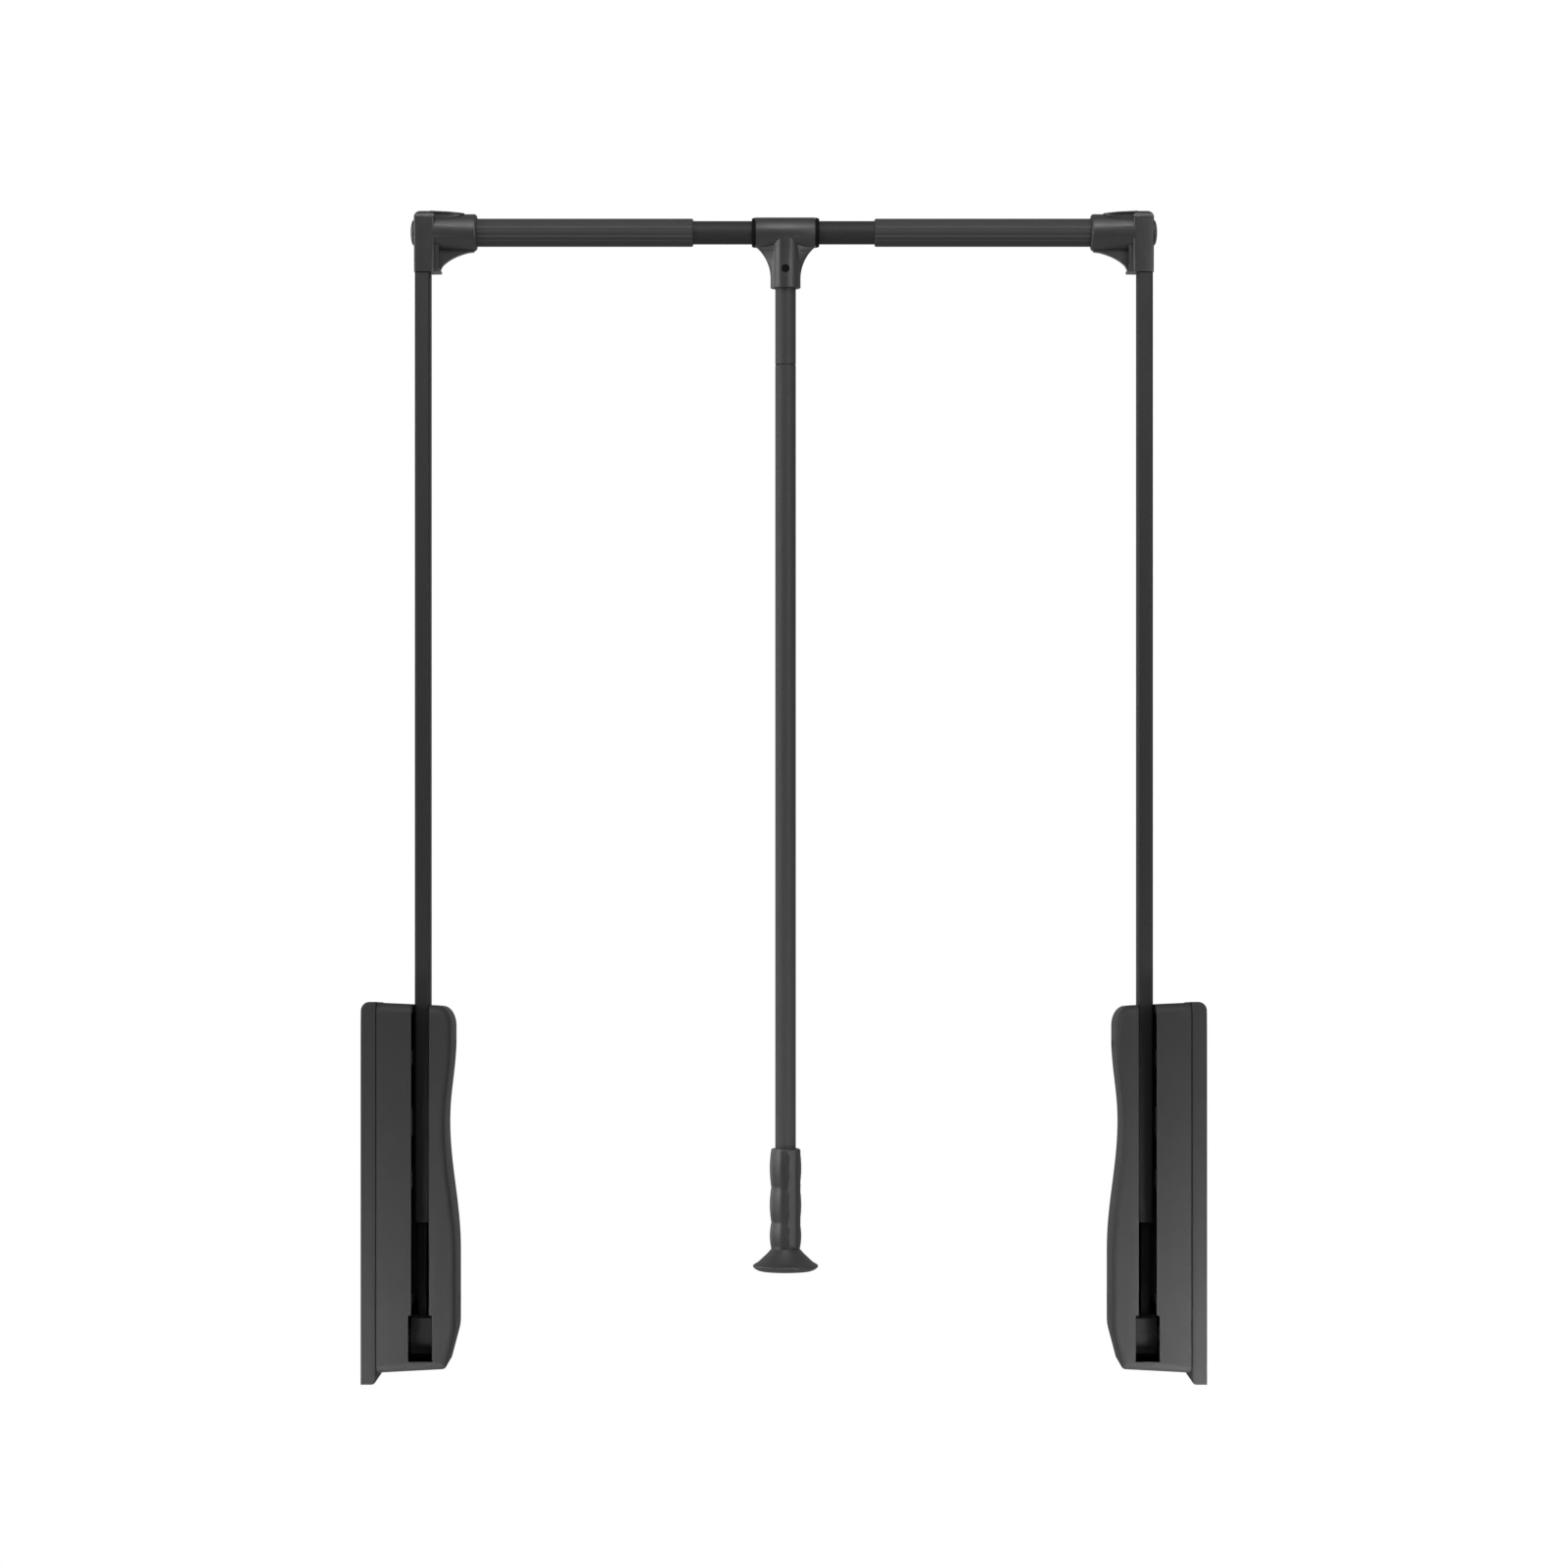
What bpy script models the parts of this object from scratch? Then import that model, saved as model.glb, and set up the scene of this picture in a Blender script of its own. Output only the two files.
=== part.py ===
"""Pull-down wardrobe rail: two sprung side units, two swing arms, a telescopic rail and a pull rod.

Metres, +Z up, -Y towards the person who pulls. The origin lies on the left wall face, on the swing axis.
Each side is modelled in its own frame, with X measured from its wall face towards the middle of the
wardrobe. The right side is the left one mirrored.
"""

import math

import bmesh
import bpy
from mathutils import Matrix, Vector

# Overall sizes
OVERALL_WIDTH = 0.600
RAIL_HEIGHT = 0.790
ARM_FROM_WALL = 0.042

# Clearances
STATIC_GAP = 0.0003
RUNNING_GAP = 0.0004
CUT_OVERRUN = 0.010

# Wall plate
PLATE_THICKNESS = 0.0108
PLATE_TOP = 0.2413
PLATE_BELOW_AXIS = 0.0304
PLATE_TOP_RADIUS = 0.0076
PLATE_FOOT_RADIUS = 0.0035
PLATE_FLOOR = 0.0040
PLATE_RIM = 0.0030
MOUNT_HOLE_RADIUS = 0.0024
MOUNT_SINK_RADIUS = 0.0048
MOUNT_SINK_DEPTH = 0.0022
MOUNT_HOLE_FRONT_INSET = 0.0110
MOUNT_HOLE_BACK_INSET = 0.0095
MOUNT_HOLE_LOW = 0.0600
MOUNT_HOLE_HIGH = 0.1850
BOSS_WALL = 0.0030

# Side cover
UNIT_FRONT = 0.0320
UNIT_BACK = 0.0340
COVER_WALL = 0.0025
COVER_FILLET = 0.0060
COVER_FACE = 0.0668
COVER_WAIST_DEPTH = 0.0083
COVER_WAIST_HEIGHT = 0.1530
COVER_SHOULDER_DEPTH = 0.0041
COVER_SHOULDER_BELOW_TOP = 0.0259
COVER_BELLY_TOP = 0.0600
COVER_CHAMFER_TOP = 0.0145
COVER_CHAMFER_SIZE = 0.0085
COVER_TOP_DROP = 0.0004
COVER_TOP_CORNER = 0.0110
COVER_TOP_CORNER_HEIGHT = 0.0154
COVER_BOTTOM_RISE = 0.0080
COVER_BOTTOM_CORNER = 0.0040
COVER_LEAST_CORNER = 0.0005
COVER_DRAFT = math.radians(2.7)
WAVE_STEPS = 6
SLOT_WIDTH = 0.0128
SLOT_FOOT = 0.0186
HUB_WINDOW_WIDTH = 0.0170
HUB_WINDOW_BOTTOM = -0.0143
CHEEK_WALL = 0.0035
CHEEK_FOOT = 0.0260
COVER_SCREW_BACK_INSET = 0.0085
COVER_SCREW_LOW = 0.0250
COVER_SCREW_HIGH = 0.2080
COVER_SCREW_RADIUS = 0.0018
COVER_SCREW_HEAD_RADIUS = 0.0033
COVER_SCREW_HEAD_HEIGHT = 0.0024
COVER_SCREW_HEAD_CROWN = 0.0010
COVER_SCREW_BITE = 0.0055
COVER_SCREW_SEAT = 0.0060

# Swing pivot
PIVOT_RADIUS = 0.0040
PIVOT_SHOULDER_RADIUS = 0.0050
PIVOT_SOCKET_DEPTH = 0.0060
PIN_CHAMFER = 0.0006
BUSH_WALL = 0.0018
BUSH_FLANGE_RADIUS = 0.0078
BUSH_FLANGE = 0.0012
HUB_RADIUS = 0.0160
HUB_WIDTH = 0.0164
STRAP_WIDTH = 0.0056
STRAP_DEPTH = 0.0170
TONGUE_LENGTH = 0.0400

# Swing arm
ARM_WIDTH = 0.0108
ARM_DEPTH = 0.0220
ARM_WALL = 0.0014
ARM_CORNER = 0.0032
ARM_FOOT = 0.0830
RIVET_RADIUS = 0.0025
RIVET_HEAD_RADIUS = 0.0042
RIVET_HEAD_HEIGHT = 0.0006
BUMPER_HEIGHT = 0.0180
BUMPER_DEPTH = 0.0054
BUMPER_EDGE = 0.0009
BUMPER_BELOW_TOP = 0.0135

# Sprung strut beside the arm
STRUT_FROM_WALL = 0.0200
CRANK_RADIUS = 0.0120
CRANK_PIN_RADIUS = 0.0030
CRANK_PIN_BITE = 0.0070
CRANK_PIN_REACH = 0.0060
CRANK_REST_ANGLE = math.radians(-50.0)
STRUT_BEHIND_AXIS = 0.0100
STRUT_LIFT_GAP = 0.0007
STRUT_FOOT_RADIUS = 0.0045
STRUT_FOOT_HEIGHT = 0.0035
STRUT_ROD_RADIUS = 0.0040
STRUT_ROD_LENGTH = 0.1300
SPRING_SEAT_HEIGHT = 0.0088
SPRING_SEAT_THICKNESS = 0.0025
SPRING_WIRE_RADIUS = 0.0009
SPRING_LENGTH = 0.1280
SPRING_TURNS = 10
SPRING_POINTS_PER_TURN = 8
SPRING_END_GAP = 0.0005
SPRING_END_LENGTH = 0.0018
CYLINDER_WALL = 0.0025
CYLINDER_BELOW_SEAT = 0.0750
CYLINDER_ABOVE_SEAT = 0.0600
CYLINDER_FLANGE = 0.0030
CYLINDER_EDGE = 0.0010
CYLINDER_BORE_DEPTH = 0.1100
ANCHOR_PIN_RADIUS = 0.0030
ANCHOR_PIN_HEAD_RADIUS = 0.0045
ANCHOR_EYE_WIDTH = 0.0080
ANCHOR_EYE_RADIUS = 0.0065
ANCHOR_EYE_RISE = 0.0140
ANCHOR_PIN_OVERHANG = 0.0025

# Elbow at the top of each arm
ELBOW_OUTER_LAP = 0.0005
ELBOW_INNER_LAP = 0.0037
ELBOW_DEPTH = 0.0280
ELBOW_BOTTOM = 0.0316
ELBOW_TOP = 0.0146
ELBOW_EDGE = 0.0035
ELBOW_SPIGOT_LENGTH = 0.0300
SOCKET_RADIUS = 0.01325
SOCKET_LENGTH = 0.0300
SOCKET_FLOOR = 0.0024
WEB_THICKNESS = 0.0080
WEB_FOOT = 0.0040
WEB_TOP_RISE = 0.0009
WEB_TOP_SETBACK = 0.0050
WEB_STEPS = 5
BOLT_RADIUS = 0.0030
BOLT_HEAD_RADIUS = 0.0050
BOLT_HEAD_HEIGHT = 0.0040
BOLT_HEAD_SINK = 0.0025
CAP_RADIUS = 0.0090
CAP_DOME = 0.0028
CAP_RIM = 0.0007
CAP_STEM_LENGTH = 0.0018

# Telescopic rail
RAIL_OUTER_RADIUS = 0.01005
RAIL_OUTER_WALL = 0.00135
RAIL_INNER_RADIUS = 0.00835
RAIL_INNER_WALL = 0.0012
RAIL_HALF_GAP = 0.0648
RAIL_END_GAP = 0.0015
RAIL_FLUTES = 18
FLUTE_DEPTH = 0.0003
FLUTE_FLANK = 0.0003
PLUG_LENGTH = 0.0142
PLUG_TIP = 0.0015

# Pull rod, tee and grip, hung on the rail axis
TEE_OFF_CENTRE = 0.0012
TEE_RADIUS = 0.0109
TEE_LENGTH = 0.0424
STEM_RADIUS = 0.0105
STEM_DROP = 0.0400
TEE_WEB_THICKNESS = 0.0090
TEE_WEB_DROP = 0.0280
TEE_WEB_SINK = 0.0004
TEE_BORE_GAP = 0.0004
COLLAR_WIDTH = 0.0026
COLLAR_RADIUS = 0.0107
ROD_RADIUS = 0.0074
ROD_WALL = 0.0012
ROD_TOP_DROP = 0.0145
ROD_JOINT_DROP = 0.0945
JOINER_LENGTH = 0.0400
ROD_SCREW_DROP = 0.0265
ROD_SCREW_RADIUS = 0.0014
ROD_SCREW_HEAD_RADIUS = 0.0026
ROD_SCREW_HEAD_HEIGHT = 0.0016
ROD_SCREW_SINK = 0.0010
GRIP_TOP_DROP = 0.6552
GRIP_BULGE_LENGTHS = (0.0277, 0.0252, 0.0188)
GRIP_TOP_RADIUS = 0.01015
GRIP_BULGE_RADIUS = 0.0113
GRIP_NECK_RADIUS = 0.01055
GRIP_BULGE_STEPS = 4
GRIP_CONE_HEIGHT = 0.0091
GRIP_CONE_RADIUS = 0.0189
GRIP_RIM_RADIUS = 0.0234
GRIP_RIM_DROP = 0.0030
GRIP_FOOT_DROP = 0.0035
GRIP_FOOT_RADIUS = 0.0190
GRIP_BORE_DEPTH = 0.0600

# Facets
SMALL_SIDES = 12
PIN_SIDES = 12
ROUND_SIDES = 24
FILLET_STEPS = 3
CORNER_STEPS = 3
MERGE_DISTANCE = 0.000001
SMOOTH_ANGLE = math.radians(35)
BEVEL_ANGLE = math.radians(40)

FINISHES = {
    "moulded_plastic": ((0.050, 0.050, 0.051), 0.45, 0.0),
    "black_plastic": ((0.010, 0.010, 0.010), 0.50, 0.0),
    "coated_metal": ((0.045, 0.045, 0.046), 0.40, 0.2),
    "plated_steel": ((0.550, 0.550, 0.560), 0.32, 1.0),
    "nylon": ((0.680, 0.670, 0.640), 0.50, 0.0),
    "rubber": ((0.018, 0.018, 0.018), 0.80, 0.0),
}

TO_X = Matrix.Rotation(math.radians(90), 4, "Y")
TO_FRONT = Matrix.Rotation(math.radians(90), 4, "X")
PLANES = {
    "XY": Matrix.Identity(4),
    "XZ": Matrix.Rotation(math.radians(90), 4, "X"),
    "YZ": Matrix(((0, 0, 1, 0), (1, 0, 0, 0), (0, 1, 0, 0), (0, 0, 0, 1))),
}


# Scene helpers

def clear_scene():
    for item in list(bpy.data.objects):
        bpy.data.objects.remove(item, do_unlink=True)


def new_collection(name):
    group = bpy.data.collections.new(name)
    bpy.context.scene.collection.children.link(group)
    return group


def new_empty(name, parent=None, location=(0, 0, 0), mirrored=False):
    empty = bpy.data.objects.new(name, None)
    PARTS.objects.link(empty)
    empty.parent = parent
    empty.location = location
    if mirrored:
        empty.scale = (-1, 1, 1)
    return empty


def new_object(name, data, parent, group=None):
    item = bpy.data.objects.new(name, data)
    (group or PARTS).objects.link(item)
    item.parent = parent
    return item


def finish(item, kind):
    colour, roughness, metallic = FINISHES[kind]
    material = bpy.data.materials.new(f"{item.name}_{kind}")
    material.use_nodes = True
    shader = material.node_tree.nodes["Principled BSDF"]
    shader.inputs["Base Color"].default_value = (*colour, 1.0)
    shader.inputs["Roughness"].default_value = roughness
    shader.inputs["Metallic"].default_value = metallic
    item.data.materials.clear()
    item.data.materials.append(material)
    return item


# Shape helpers

def mesh_from(bm, name):
    bmesh.ops.recalc_face_normals(bm, faces=bm.faces)
    mesh = bpy.data.meshes.new(name)
    bm.to_mesh(mesh)
    bm.free()
    mesh.shade_smooth()
    mesh.set_sharp_from_angle(angle=SMOOTH_ANGLE)
    return mesh


def add_box(bm, low, high):
    size = [top - bottom for bottom, top in zip(low, high)]
    middle = [(top + bottom) / 2 for bottom, top in zip(low, high)]
    bmesh.ops.create_cube(bm, size=1, matrix=Matrix.Translation(middle) @ Matrix.Diagonal((*size, 1)))


def add_cylinder(bm, axis, start, end, at, radius, sides=PIN_SIDES, end_radius=None):
    """A cylinder or cone from start to end along axis X, Y or Z, through the point at of the other two."""
    turn = {"X": TO_X, "Y": Matrix.Rotation(math.radians(-90), 4, "X"), "Z": Matrix.Identity(4)}[axis]
    middle = list(at)
    middle.insert("XYZ".index(axis), (start + end) / 2)
    bmesh.ops.create_cone(
        bm, cap_ends=True, segments=sides, radius1=radius, radius2=end_radius or radius,
        depth=end - start, matrix=Matrix.Translation(middle) @ turn)


def solid(name, parent, build, group=None):
    """One object from a function that adds primitives to a bmesh."""
    bm = bmesh.new()
    build(bm)
    return new_object(name, mesh_from(bm, name), parent, group)


def turned(name, parent, profile, matrix, sides=PIN_SIDES, closed=False):
    """Profile of (radius, height) points, running down the outer side, turned about local Z."""
    mesh = bpy.data.meshes.new(name)
    count = len(profile)
    edges = [(i, i + 1) for i in range(count - 1)]
    if closed:
        edges.append((count - 1, 0))
    mesh.from_pydata([(radius, 0, height) for radius, height in profile], edges, [])
    item = new_object(name, mesh, parent)
    item.matrix_local = matrix
    screw = item.modifiers.new("turn", "SCREW")
    screw.steps = screw.render_steps = sides
    screw.use_merge_vertices = True
    screw.merge_threshold = 10 * MERGE_DISTANCE
    screw.use_smooth_shade = False
    return item


def prism(name, parent, outlines, start, end, plane, group=None):
    """Flat outlines, the first solid and the rest holes, extruded square to their plane."""
    curve = bpy.data.curves.new(name, "CURVE")
    curve.dimensions = "2D"
    curve.fill_mode = "BOTH"
    curve.extrude = (end - start) / 2
    for points in outlines:
        spline = curve.splines.new("POLY")
        spline.points.add(len(points) - 1)
        for slot, (across, along) in zip(spline.points, points):
            slot.co = (across, along, 0, 1)
        spline.use_cyclic_u = True
    drawn = bpy.data.objects.new(name, curve)
    CUTTERS.objects.link(drawn)
    graph = bpy.context.evaluated_depsgraph_get()
    mesh = bpy.data.meshes.new_from_object(drawn.evaluated_get(graph))
    bpy.data.objects.remove(drawn)
    bpy.data.curves.remove(curve)
    square = {"XY": Vector((0, 0, 1)), "XZ": Vector((0, 1, 0)), "YZ": Vector((1, 0, 0))}[plane]
    bm = bmesh.new()
    bm.from_mesh(mesh)
    bpy.data.meshes.remove(mesh)
    bmesh.ops.remove_doubles(bm, verts=bm.verts, dist=MERGE_DISTANCE)
    if len(outlines) == 1:
        for level in (-1, 1):
            cap = [f for f in bm.faces if all(v.co.z * level > 0 for v in f.verts)]
            bmesh.ops.dissolve_faces(bm, faces=cap)
    place = Matrix.Translation(square * (start + end) / 2) @ PLANES[plane]
    bmesh.ops.transform(bm, matrix=place, verts=bm.verts)
    return new_object(name, mesh_from(bm, name), parent, group)


def boolean(item, tool, operation):
    step = item.modifiers.new(operation.lower(), "BOOLEAN")
    step.object = tool
    step.operation = operation
    step.solver = "EXACT"
    tool.hide_render = True
    tool.display_type = "WIRE"


def bevel(item, width, segments=2):
    step = item.modifiers.new("edges", "BEVEL")
    step.width = width
    step.segments = segments
    step.limit_method = "ANGLE"
    step.angle_limit = BEVEL_ANGLE


def arc(centre, radius, start, end, steps):
    """Points from angle start to end, in degrees, on a circle or an ellipse."""
    wide, high = radius if isinstance(radius, tuple) else (radius, radius)
    angles = [math.radians(start + (end - start) * i / steps) for i in range(steps + 1)]
    return [(centre[0] + wide * math.cos(a), centre[1] + high * math.sin(a)) for a in angles]


def arm_section(inset):
    """The arm tube's rounded rectangle, drawn in by inset, seen from above."""
    radius = ARM_CORNER - inset
    across, along = ARM_WIDTH / 2 - ARM_CORNER, ARM_DEPTH / 2 - ARM_CORNER
    points = []
    for turn, (side, face) in enumerate(((1, 1), (-1, 1), (-1, -1), (1, -1))):
        centre = (ARM_FROM_WALL + side * across, face * along)
        points += arc(centre, radius, 90 * turn, 90 * turn + 90, CORNER_STEPS)
    return points


# Places that several pieces share, in the side frame

COVER_TOP = PLATE_TOP - COVER_TOP_DROP
COVER_SHOULDER_HEIGHT = COVER_TOP - COVER_SHOULDER_BELOW_TOP
COVER_BOTTOM = -PLATE_BELOW_AXIS + COVER_BOTTOM_RISE
ARM_BACK = ARM_DEPTH / 2
CHANNEL_BACK = ARM_BACK + BUMPER_DEPTH + 2 * STATIC_GAP
SCREW_BACK = UNIT_BACK - COVER_SCREW_BACK_INSET
COVER_SCREWS = {"low": COVER_SCREW_LOW, "high": COVER_SCREW_HIGH}
HUB_WALL_SIDE = ARM_FROM_WALL - HUB_WIDTH / 2
HUB_ROOM_SIDE = ARM_FROM_WALL + HUB_WIDTH / 2
BUSH_RADIUS = PIVOT_RADIUS + RUNNING_GAP + BUSH_WALL
PIVOT_SHOULDER = HUB_WALL_SIDE - BUSH_FLANGE - 2 * STATIC_GAP
COVER_BOSS_FACE = HUB_ROOM_SIDE + BUSH_FLANGE + 2 * STATIC_GAP
CRANK_Y = CRANK_RADIUS * math.cos(CRANK_REST_ANGLE)
CRANK_Z = CRANK_RADIUS * math.sin(CRANK_REST_ANGLE)
STRUT_FOOT = CRANK_Z + CRANK_PIN_RADIUS + STRUT_LIFT_GAP
SPRING_SEAT = SPRING_SEAT_HEIGHT + SPRING_SEAT_THICKNESS
SPRING_TOP = SPRING_SEAT + SPRING_LENGTH
CYLINDER_RADIUS = STRUT_ROD_RADIUS + RUNNING_GAP + CYLINDER_WALL
SPRING_CLEAR_RADIUS = CYLINDER_RADIUS + RUNNING_GAP + SPRING_WIRE_RADIUS
SPRING_RADIUS = SPRING_CLEAR_RADIUS / math.cos(math.pi / SPRING_POINTS_PER_TURN)
SEAT_RADIUS = SPRING_RADIUS + SPRING_WIRE_RADIUS
CYLINDER_FOOT = SPRING_TOP - CYLINDER_BELOW_SEAT
CYLINDER_TOP = SPRING_TOP + CYLINDER_FLANGE + CYLINDER_ABOVE_SEAT
ANCHOR_Z = CYLINDER_TOP + ANCHOR_EYE_RISE
ELBOW_OUTER = ARM_FROM_WALL - ARM_WIDTH / 2 - ELBOW_OUTER_LAP
ELBOW_INNER = ARM_FROM_WALL + ARM_WIDTH / 2 + ELBOW_INNER_LAP
ELBOW_FOOT = RAIL_HEIGHT - ELBOW_BOTTOM
ELBOW_HEAD = RAIL_HEIGHT + ELBOW_TOP
SOCKET_MOUTH = ELBOW_INNER + SOCKET_LENGTH
RAIL_START = ELBOW_INNER + SOCKET_FLOOR + STATIC_GAP
PLUG_END = RAIL_START + PLUG_LENGTH
RAIL_BORE = RAIL_OUTER_RADIUS - RAIL_OUTER_WALL
BOLT_SEAT = ELBOW_OUTER + BOLT_HEAD_SINK + BOLT_HEAD_HEIGHT
ROD_BORE = ROD_RADIUS - ROD_WALL
RAIL_MIDDLE = OVERALL_WIDTH / 2


# Side unit: plate and cover

def mount_hole(bm, across, height):
    """Hole right through the plate's floor for a screw into the wardrobe's side."""
    add_cylinder(bm, "X", -CUT_OVERRUN, PLATE_THICKNESS, (across, height), MOUNT_HOLE_RADIUS, SMALL_SIDES)


def mount_sink(bm, across, height):
    """Countersink of a mounting hole, on the room side."""
    add_cylinder(bm, "X", PLATE_FLOOR - MOUNT_SINK_DEPTH, PLATE_FLOOR + STATIC_GAP, (across, height),
                 MOUNT_HOLE_RADIUS, SMALL_SIDES, MOUNT_SINK_RADIUS)


def wall_plate(side, frame):
    bottom = -PLATE_BELOW_AXIS
    outline = [(0, bottom)]
    outline += arc((PLATE_THICKNESS - PLATE_FOOT_RADIUS, bottom + PLATE_FOOT_RADIUS), PLATE_FOOT_RADIUS,
                   -90, 0, CORNER_STEPS)
    outline += [(PLATE_THICKNESS, PLATE_TOP)]
    outline += arc((PLATE_TOP_RADIUS, PLATE_TOP - PLATE_TOP_RADIUS), PLATE_TOP_RADIUS, 90, 180, CORNER_STEPS)
    plate = prism(f"{side}_wall_plate", frame, [outline], -UNIT_FRONT, UNIT_BACK, "XZ")
    pocket_low = (PLATE_FLOOR, -UNIT_FRONT + PLATE_RIM, COVER_BOTTOM + COVER_WALL)
    pocket_high = (PLATE_THICKNESS + CUT_OVERRUN, UNIT_BACK - PLATE_RIM,
                   PLATE_TOP - PLATE_TOP_RADIUS - PLATE_RIM)
    pocket = solid(f"{side}_plate_pocket", frame, lambda bm: add_box(bm, pocket_low, pocket_high), CUTTERS)
    root = PLATE_FLOOR / 2
    boss_tip = STRUT_FROM_WALL - STRUT_FOOT_RADIUS - RUNNING_GAP

    def bosses(bm):
        add_cylinder(bm, "X", root, boss_tip, (0, 0), PIVOT_SHOULDER_RADIUS + BOSS_WALL)
        add_cylinder(bm, "X", root, STRUT_FROM_WALL - ANCHOR_EYE_WIDTH / 2 - STATIC_GAP,
                     (STRUT_BEHIND_AXIS, ANCHOR_Z), ANCHOR_PIN_RADIUS + BOSS_WALL)
        for height in COVER_SCREWS.values():
            add_cylinder(bm, "X", root, PLATE_THICKNESS, (SCREW_BACK, height), COVER_SCREW_RADIUS + BOSS_WALL)

    def holes(bm):
        far = boss_tip + CUT_OVERRUN
        blind = PLATE_FLOOR - root
        add_cylinder(bm, "X", blind, far, (0, 0), PIVOT_SHOULDER_RADIUS + STATIC_GAP)
        add_cylinder(bm, "X", blind, far, (STRUT_BEHIND_AXIS, ANCHOR_Z), ANCHOR_PIN_RADIUS + STATIC_GAP)
        for height in COVER_SCREWS.values():
            add_cylinder(bm, "X", blind, far, (SCREW_BACK, height), COVER_SCREW_RADIUS + STATIC_GAP,
                         SMALL_SIDES)

    places = [(across, height)
              for across in (-UNIT_FRONT + MOUNT_HOLE_FRONT_INSET, UNIT_BACK - MOUNT_HOLE_BACK_INSET)
              for height in (MOUNT_HOLE_LOW, MOUNT_HOLE_HIGH)]
    boolean(plate, pocket, "DIFFERENCE")
    boolean(plate, solid(f"{side}_plate_bosses", frame, bosses, CUTTERS), "UNION")
    boolean(plate, solid(f"{side}_plate_holes", frame, holes, CUTTERS), "DIFFERENCE")
    for name, cut in (("mount_holes", mount_hole), ("mount_sinks", mount_sink)):
        tool = solid(f"{side}_{name}", frame, lambda bm: [cut(bm, *place) for place in places], CUTTERS)
        boolean(plate, tool, "DIFFERENCE")
    return finish(plate, "moulded_plastic")


def cover_face(height):
    """The cover's wavy inner face: flat belly, drawn-in waist, shoulder near the top."""
    def blend(low, high):
        share = (height - low) / (high - low)
        return (1 - math.cos(math.pi * share)) / 2
    if height <= COVER_BELLY_TOP:
        return COVER_FACE
    if height <= COVER_WAIST_HEIGHT:
        return COVER_FACE - COVER_WAIST_DEPTH * blend(COVER_BELLY_TOP, COVER_WAIST_HEIGHT)
    rise = COVER_WAIST_DEPTH - COVER_SHOULDER_DEPTH
    return COVER_FACE - COVER_WAIST_DEPTH + rise * blend(COVER_WAIST_HEIGHT, COVER_SHOULDER_HEIGHT)


def cover_outline(inset):
    """Front view of the cover, drawn in by inset on all sides but the seam, counter-clockwise."""
    seam = PLATE_THICKNESS + STATIC_GAP if inset == 0 else PLATE_THICKNESS - CUT_OVERRUN
    slope = math.tan(COVER_DRAFT)
    top_corner = COVER_TOP_CORNER - inset
    foot_corner = max(COVER_BOTTOM_CORNER - inset, COVER_LEAST_CORNER)
    chamfer_foot = COVER_FACE - COVER_CHAMFER_SIZE - inset

    def bottom(across):
        return COVER_BOTTOM + inset + slope * (across - PLATE_THICKNESS)

    def top(across):
        return COVER_TOP - inset - slope * (across - PLATE_THICKNESS)

    points = [(seam, bottom(seam)), (chamfer_foot - foot_corner, bottom(chamfer_foot - foot_corner))]
    points += [(chamfer_foot, bottom(chamfer_foot) + foot_corner), (COVER_FACE - inset, COVER_CHAMFER_TOP)]
    for low, high in ((COVER_BELLY_TOP, COVER_WAIST_HEIGHT), (COVER_WAIST_HEIGHT, COVER_SHOULDER_HEIGHT)):
        heights = [low + (high - low) * i / WAVE_STEPS for i in range(WAVE_STEPS)]
        points += [(cover_face(height) - inset, height) for height in heights]
    shoulder = cover_face(COVER_SHOULDER_HEIGHT) - inset
    corner_foot = top(shoulder) - COVER_TOP_CORNER_HEIGHT
    points.append((shoulder, COVER_SHOULDER_HEIGHT))
    corner_height = top(shoulder - top_corner) - corner_foot
    points += arc((shoulder - top_corner, corner_foot), (top_corner, corner_height), 0, 90,
                  CORNER_STEPS + 1)[1:]
    points.append((seam, top(seam)))
    return points


def cover_form(name, frame, inset, group):
    """The cover's outer or inner form, with a drafted front and a fillet round the front."""
    form = prism(name, frame, [cover_outline(inset)], -UNIT_FRONT + inset, UNIT_BACK - inset, "XZ", group)
    front = -UNIT_FRONT + inset
    slope = math.tan(COVER_DRAFT)
    bm = bmesh.new()
    bm.from_mesh(form.data)
    leading = [v for v in bm.verts if abs(v.co.y - front) < STATIC_GAP]
    seam = min(v.co.x for v in bm.verts)
    for v in leading:
        v.co.y += slope * (v.co.x - PLATE_THICKNESS)
    rim = [e for e in bm.edges if all(v in leading for v in e.verts)
           and not all(v.co.x < seam + STATIC_GAP for v in e.verts)]
    bmesh.ops.bevel(bm, geom=rim, offset=COVER_FILLET - inset, segments=FILLET_STEPS, profile=0.5,
                    affect="EDGES")
    old = form.data
    form.data = mesh_from(bm, name)
    bpy.data.meshes.remove(old)
    return form


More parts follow.
